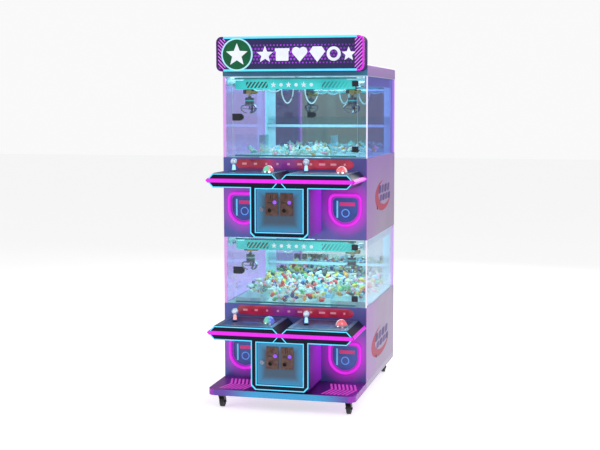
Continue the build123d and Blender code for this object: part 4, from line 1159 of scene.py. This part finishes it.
def make_prizes(rng, tier):
    """Fills one tier on a jittered grid, then makes one mesh per colour."""
    step, layers, _, _ = HEAPS[tier]
    skip_chance = 0.18  # upper tier only
    piles = {}
    for layer in range(layers):
        grid_depth = 0.030 + 0.5 * step * layer
        while grid_depth < 0.825:
            grid_x = -0.362 + 0.5 * step * layer
            while grid_x < 0.362:
                x = grid_x + rng.uniform(-0.4, 0.4) * step
                depth = grid_depth + rng.uniform(-0.4, 0.4) * step
                grid_x += step
                if not on_deck(x, depth):
                    continue
                if tier == "upper" and rng.random() < skip_chance:
                    continue
                add_prize(rng, tier, layer, x, depth, piles)
            grid_depth += step
    for colour, (verts, faces) in piles.items():
        name = f"prizes_{tier}_{colour}"
        mesh = bpy.data.meshes.new(name)
        mesh.from_pydata([tuple(vert) for vert in verts], [], faces)
        mesh.update()
        bm = bmesh.new()
        bm.from_mesh(mesh)
        bmesh.ops.remove_doubles(bm, verts=bm.verts, dist=0.00001)
        bm.to_mesh(mesh)
        bm.free()
        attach(link_mesh(name, mesh, ["prize_" + colour], smooth=True), "cabinet")


prize_rng = random.Random(11)
for tier in TIERS:
    make_prizes(prize_rng, tier)


# ------------------------------------------------------------------ cords and cables
def make_hoist_cord(tier, side):
    """Short upright cord between trolley and claw."""
    steps, length = 26, 0.005
    x, y, top_z = SIDES[side] * TROLLEY_X, depth_y(0.140), CHAMBER_TOP_Z[tier]
    bm = bmesh.new()
    points = [(x, y, top_z - 0.0965 - length * k / steps) for k in range(steps + 1)]
    add_tube(bm, points, radius=0.0022)
    obj = make_object(f"hoist_cord_{tier}_{side}", bm, ["cord_black"], smooth=True)
    top_z - 0.0970
    top_z - 0.1010
    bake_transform(obj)


# hanging loops from the inner end outwards: part of the cable's span, dip
LOWER_LOOPS = ((0.32, 0.034), (0.34, 0.018), (0.34, 0.018))
FESTOON_LOOPS = {
    ("lower", "left"): LOWER_LOOPS,
    ("lower", "right"): LOWER_LOOPS,
    ("upper", "left"): ((0.30, 0.084), (0.36, 0.022), (0.34, 0.018)),
    ("upper", "right"): ((0.34, 0.086), (0.33, 0.018), (0.33, 0.020)),
}


def make_festoon(tier, side):
    """White cable in loops from the inner end of a bridge to its trolley."""
    inner_x, outer_x = SIDES[side] * 0.0308, SIDES[side] * 0.2632
    y, z = depth_y(0.109), CHAMBER_TOP_Z[tier] - 0.0575
    steps = 18
    points, loop_start = [], 0.0
    for span, dip in FESTOON_LOOPS[tier, side]:
        # later loops share their first point with the loop before
        for k in range(1 if points else 0, steps + 1):
            along = loop_start + span * k / steps
            sag = dip * math.sin(math.pi * k / steps) ** 0.5
            points.append((inner_x + (outer_x - inner_x) * along, y, z - sag))
        loop_start += span
    bm = bmesh.new()
    add_tube(bm, points, radius=0.0036)
    obj = make_object(f"festoon_cable_{tier}_{side}", bm, ["festoon_white"], smooth=True)
    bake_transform(obj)


for make_cable in (make_hoist_cord, make_festoon):
    for tier in TIERS:
        for side in SIDES:
            make_cable(tier, side)


# ------------------------------------------------------------------ lights, floor, world, camera
def area_light(name, location, energy, size, colour=(1, 1, 1)):
    """An area light hidden from the camera, facing down."""
    data = bpy.data.lights.new(name, "AREA")
    data.size = size
    data.energy = energy
    data.color = colour
    light = bpy.data.objects.new(name, data)
    light.location = location
    light.visible_camera = False
    bpy.context.scene.collection.objects.link(light)
    return light


def make_chamber_lights():
    for tier, energy in (("lower", 3.1), ("upper", 3.0)):
        for k, depth in enumerate((0.24, 0.64)):
            location = (0, depth_y(depth), CHAMBER_TOP_Z[tier] - 0.006)
            light = area_light(f"chamber_{tier}_{k}", location, energy=energy, size=0.66,
                               colour=(0.50, 0.93, 1.0))
            light.data.shape = "RECTANGLE"
            light.data.size_y = 0.30


def make_floor():
    half = 30
    bm = bmesh.new()
    for x, y in ((-half, -half), (half, -half), (half, half), (-half, half)):
        bm.verts.new((x, y, 0.0))
    bm.faces.new(bm.verts)
    make_object("stage_floor", bm, ["floor_pale"])


def make_world():
    """White world, brighter to the camera than as a light."""
    world = bpy.data.worlds.new("studio")
    bpy.context.scene.world = world
    world.use_nodes = True
    nodes, links = world.node_tree.nodes, world.node_tree.links
    nodes.clear()
    output = nodes.new("ShaderNodeOutputWorld")
    mix = nodes.new("ShaderNodeMixShader")
    rays = nodes.new("ShaderNodeLightPath")
    links.new(rays.outputs["Is Camera Ray"], mix.inputs[0])
    lighting_strength, camera_strength = 0.34, 0.95
    for socket, strength in ((1, lighting_strength), (2, camera_strength)):
        background = nodes.new("ShaderNodeBackground")
        background.inputs[0].default_value = (1.0, 1.0, 1.0, 1)
        background.inputs[1].default_value = strength
        links.new(background.outputs[0], mix.inputs[socket])
    links.new(mix.outputs[0], output.inputs[0])


def make_studio_lights():
    # name, location, height aimed at on the cabinet's axis, size, energy
    for name, location, aim_z, size, energy in (
        ("key", (2.6, -4.4, 3.4), 0.9, 2.4, 120),
        ("fill", (-3.6, -3.2, 2.2), 0.9, 2.6, 50),
        ("back", (0.5, 4.2, 3.2), 1.0, 2.4, 80),
    ):
        light = area_light(name, location, energy=energy, size=size)
        direction = Vector((0, 0, aim_z)) - Vector(location)
        light.rotation_euler = direction.to_track_quat("-Z", "Y").to_euler()


def make_camera():
    """In front of the cabinet and to its right, looking slightly down."""
    data = bpy.data.cameras.new("photo_camera")
    data.sensor_width = 36.0
    data.lens = 70.58
    data.shift_x = -0.030
    data.shift_y = -0.0013
    data.clip_start = 0.05
    data.clip_end = 200
    camera = bpy.data.objects.new("photo_camera", data)
    camera.location = (1.5815, depth_y(-6.1449), 1.6144)
    camera.rotation_euler = (math.radians(84.257), 0.0, math.radians(13.276))
    bpy.context.scene.collection.objects.link(camera)
    bpy.context.scene.camera = camera


make_chamber_lights()
make_floor()
bpy.context.scene.view_settings.view_transform = "Standard"
bpy.context.scene.view_settings.look = "None"
make_world()
make_studio_lights()
make_camera()
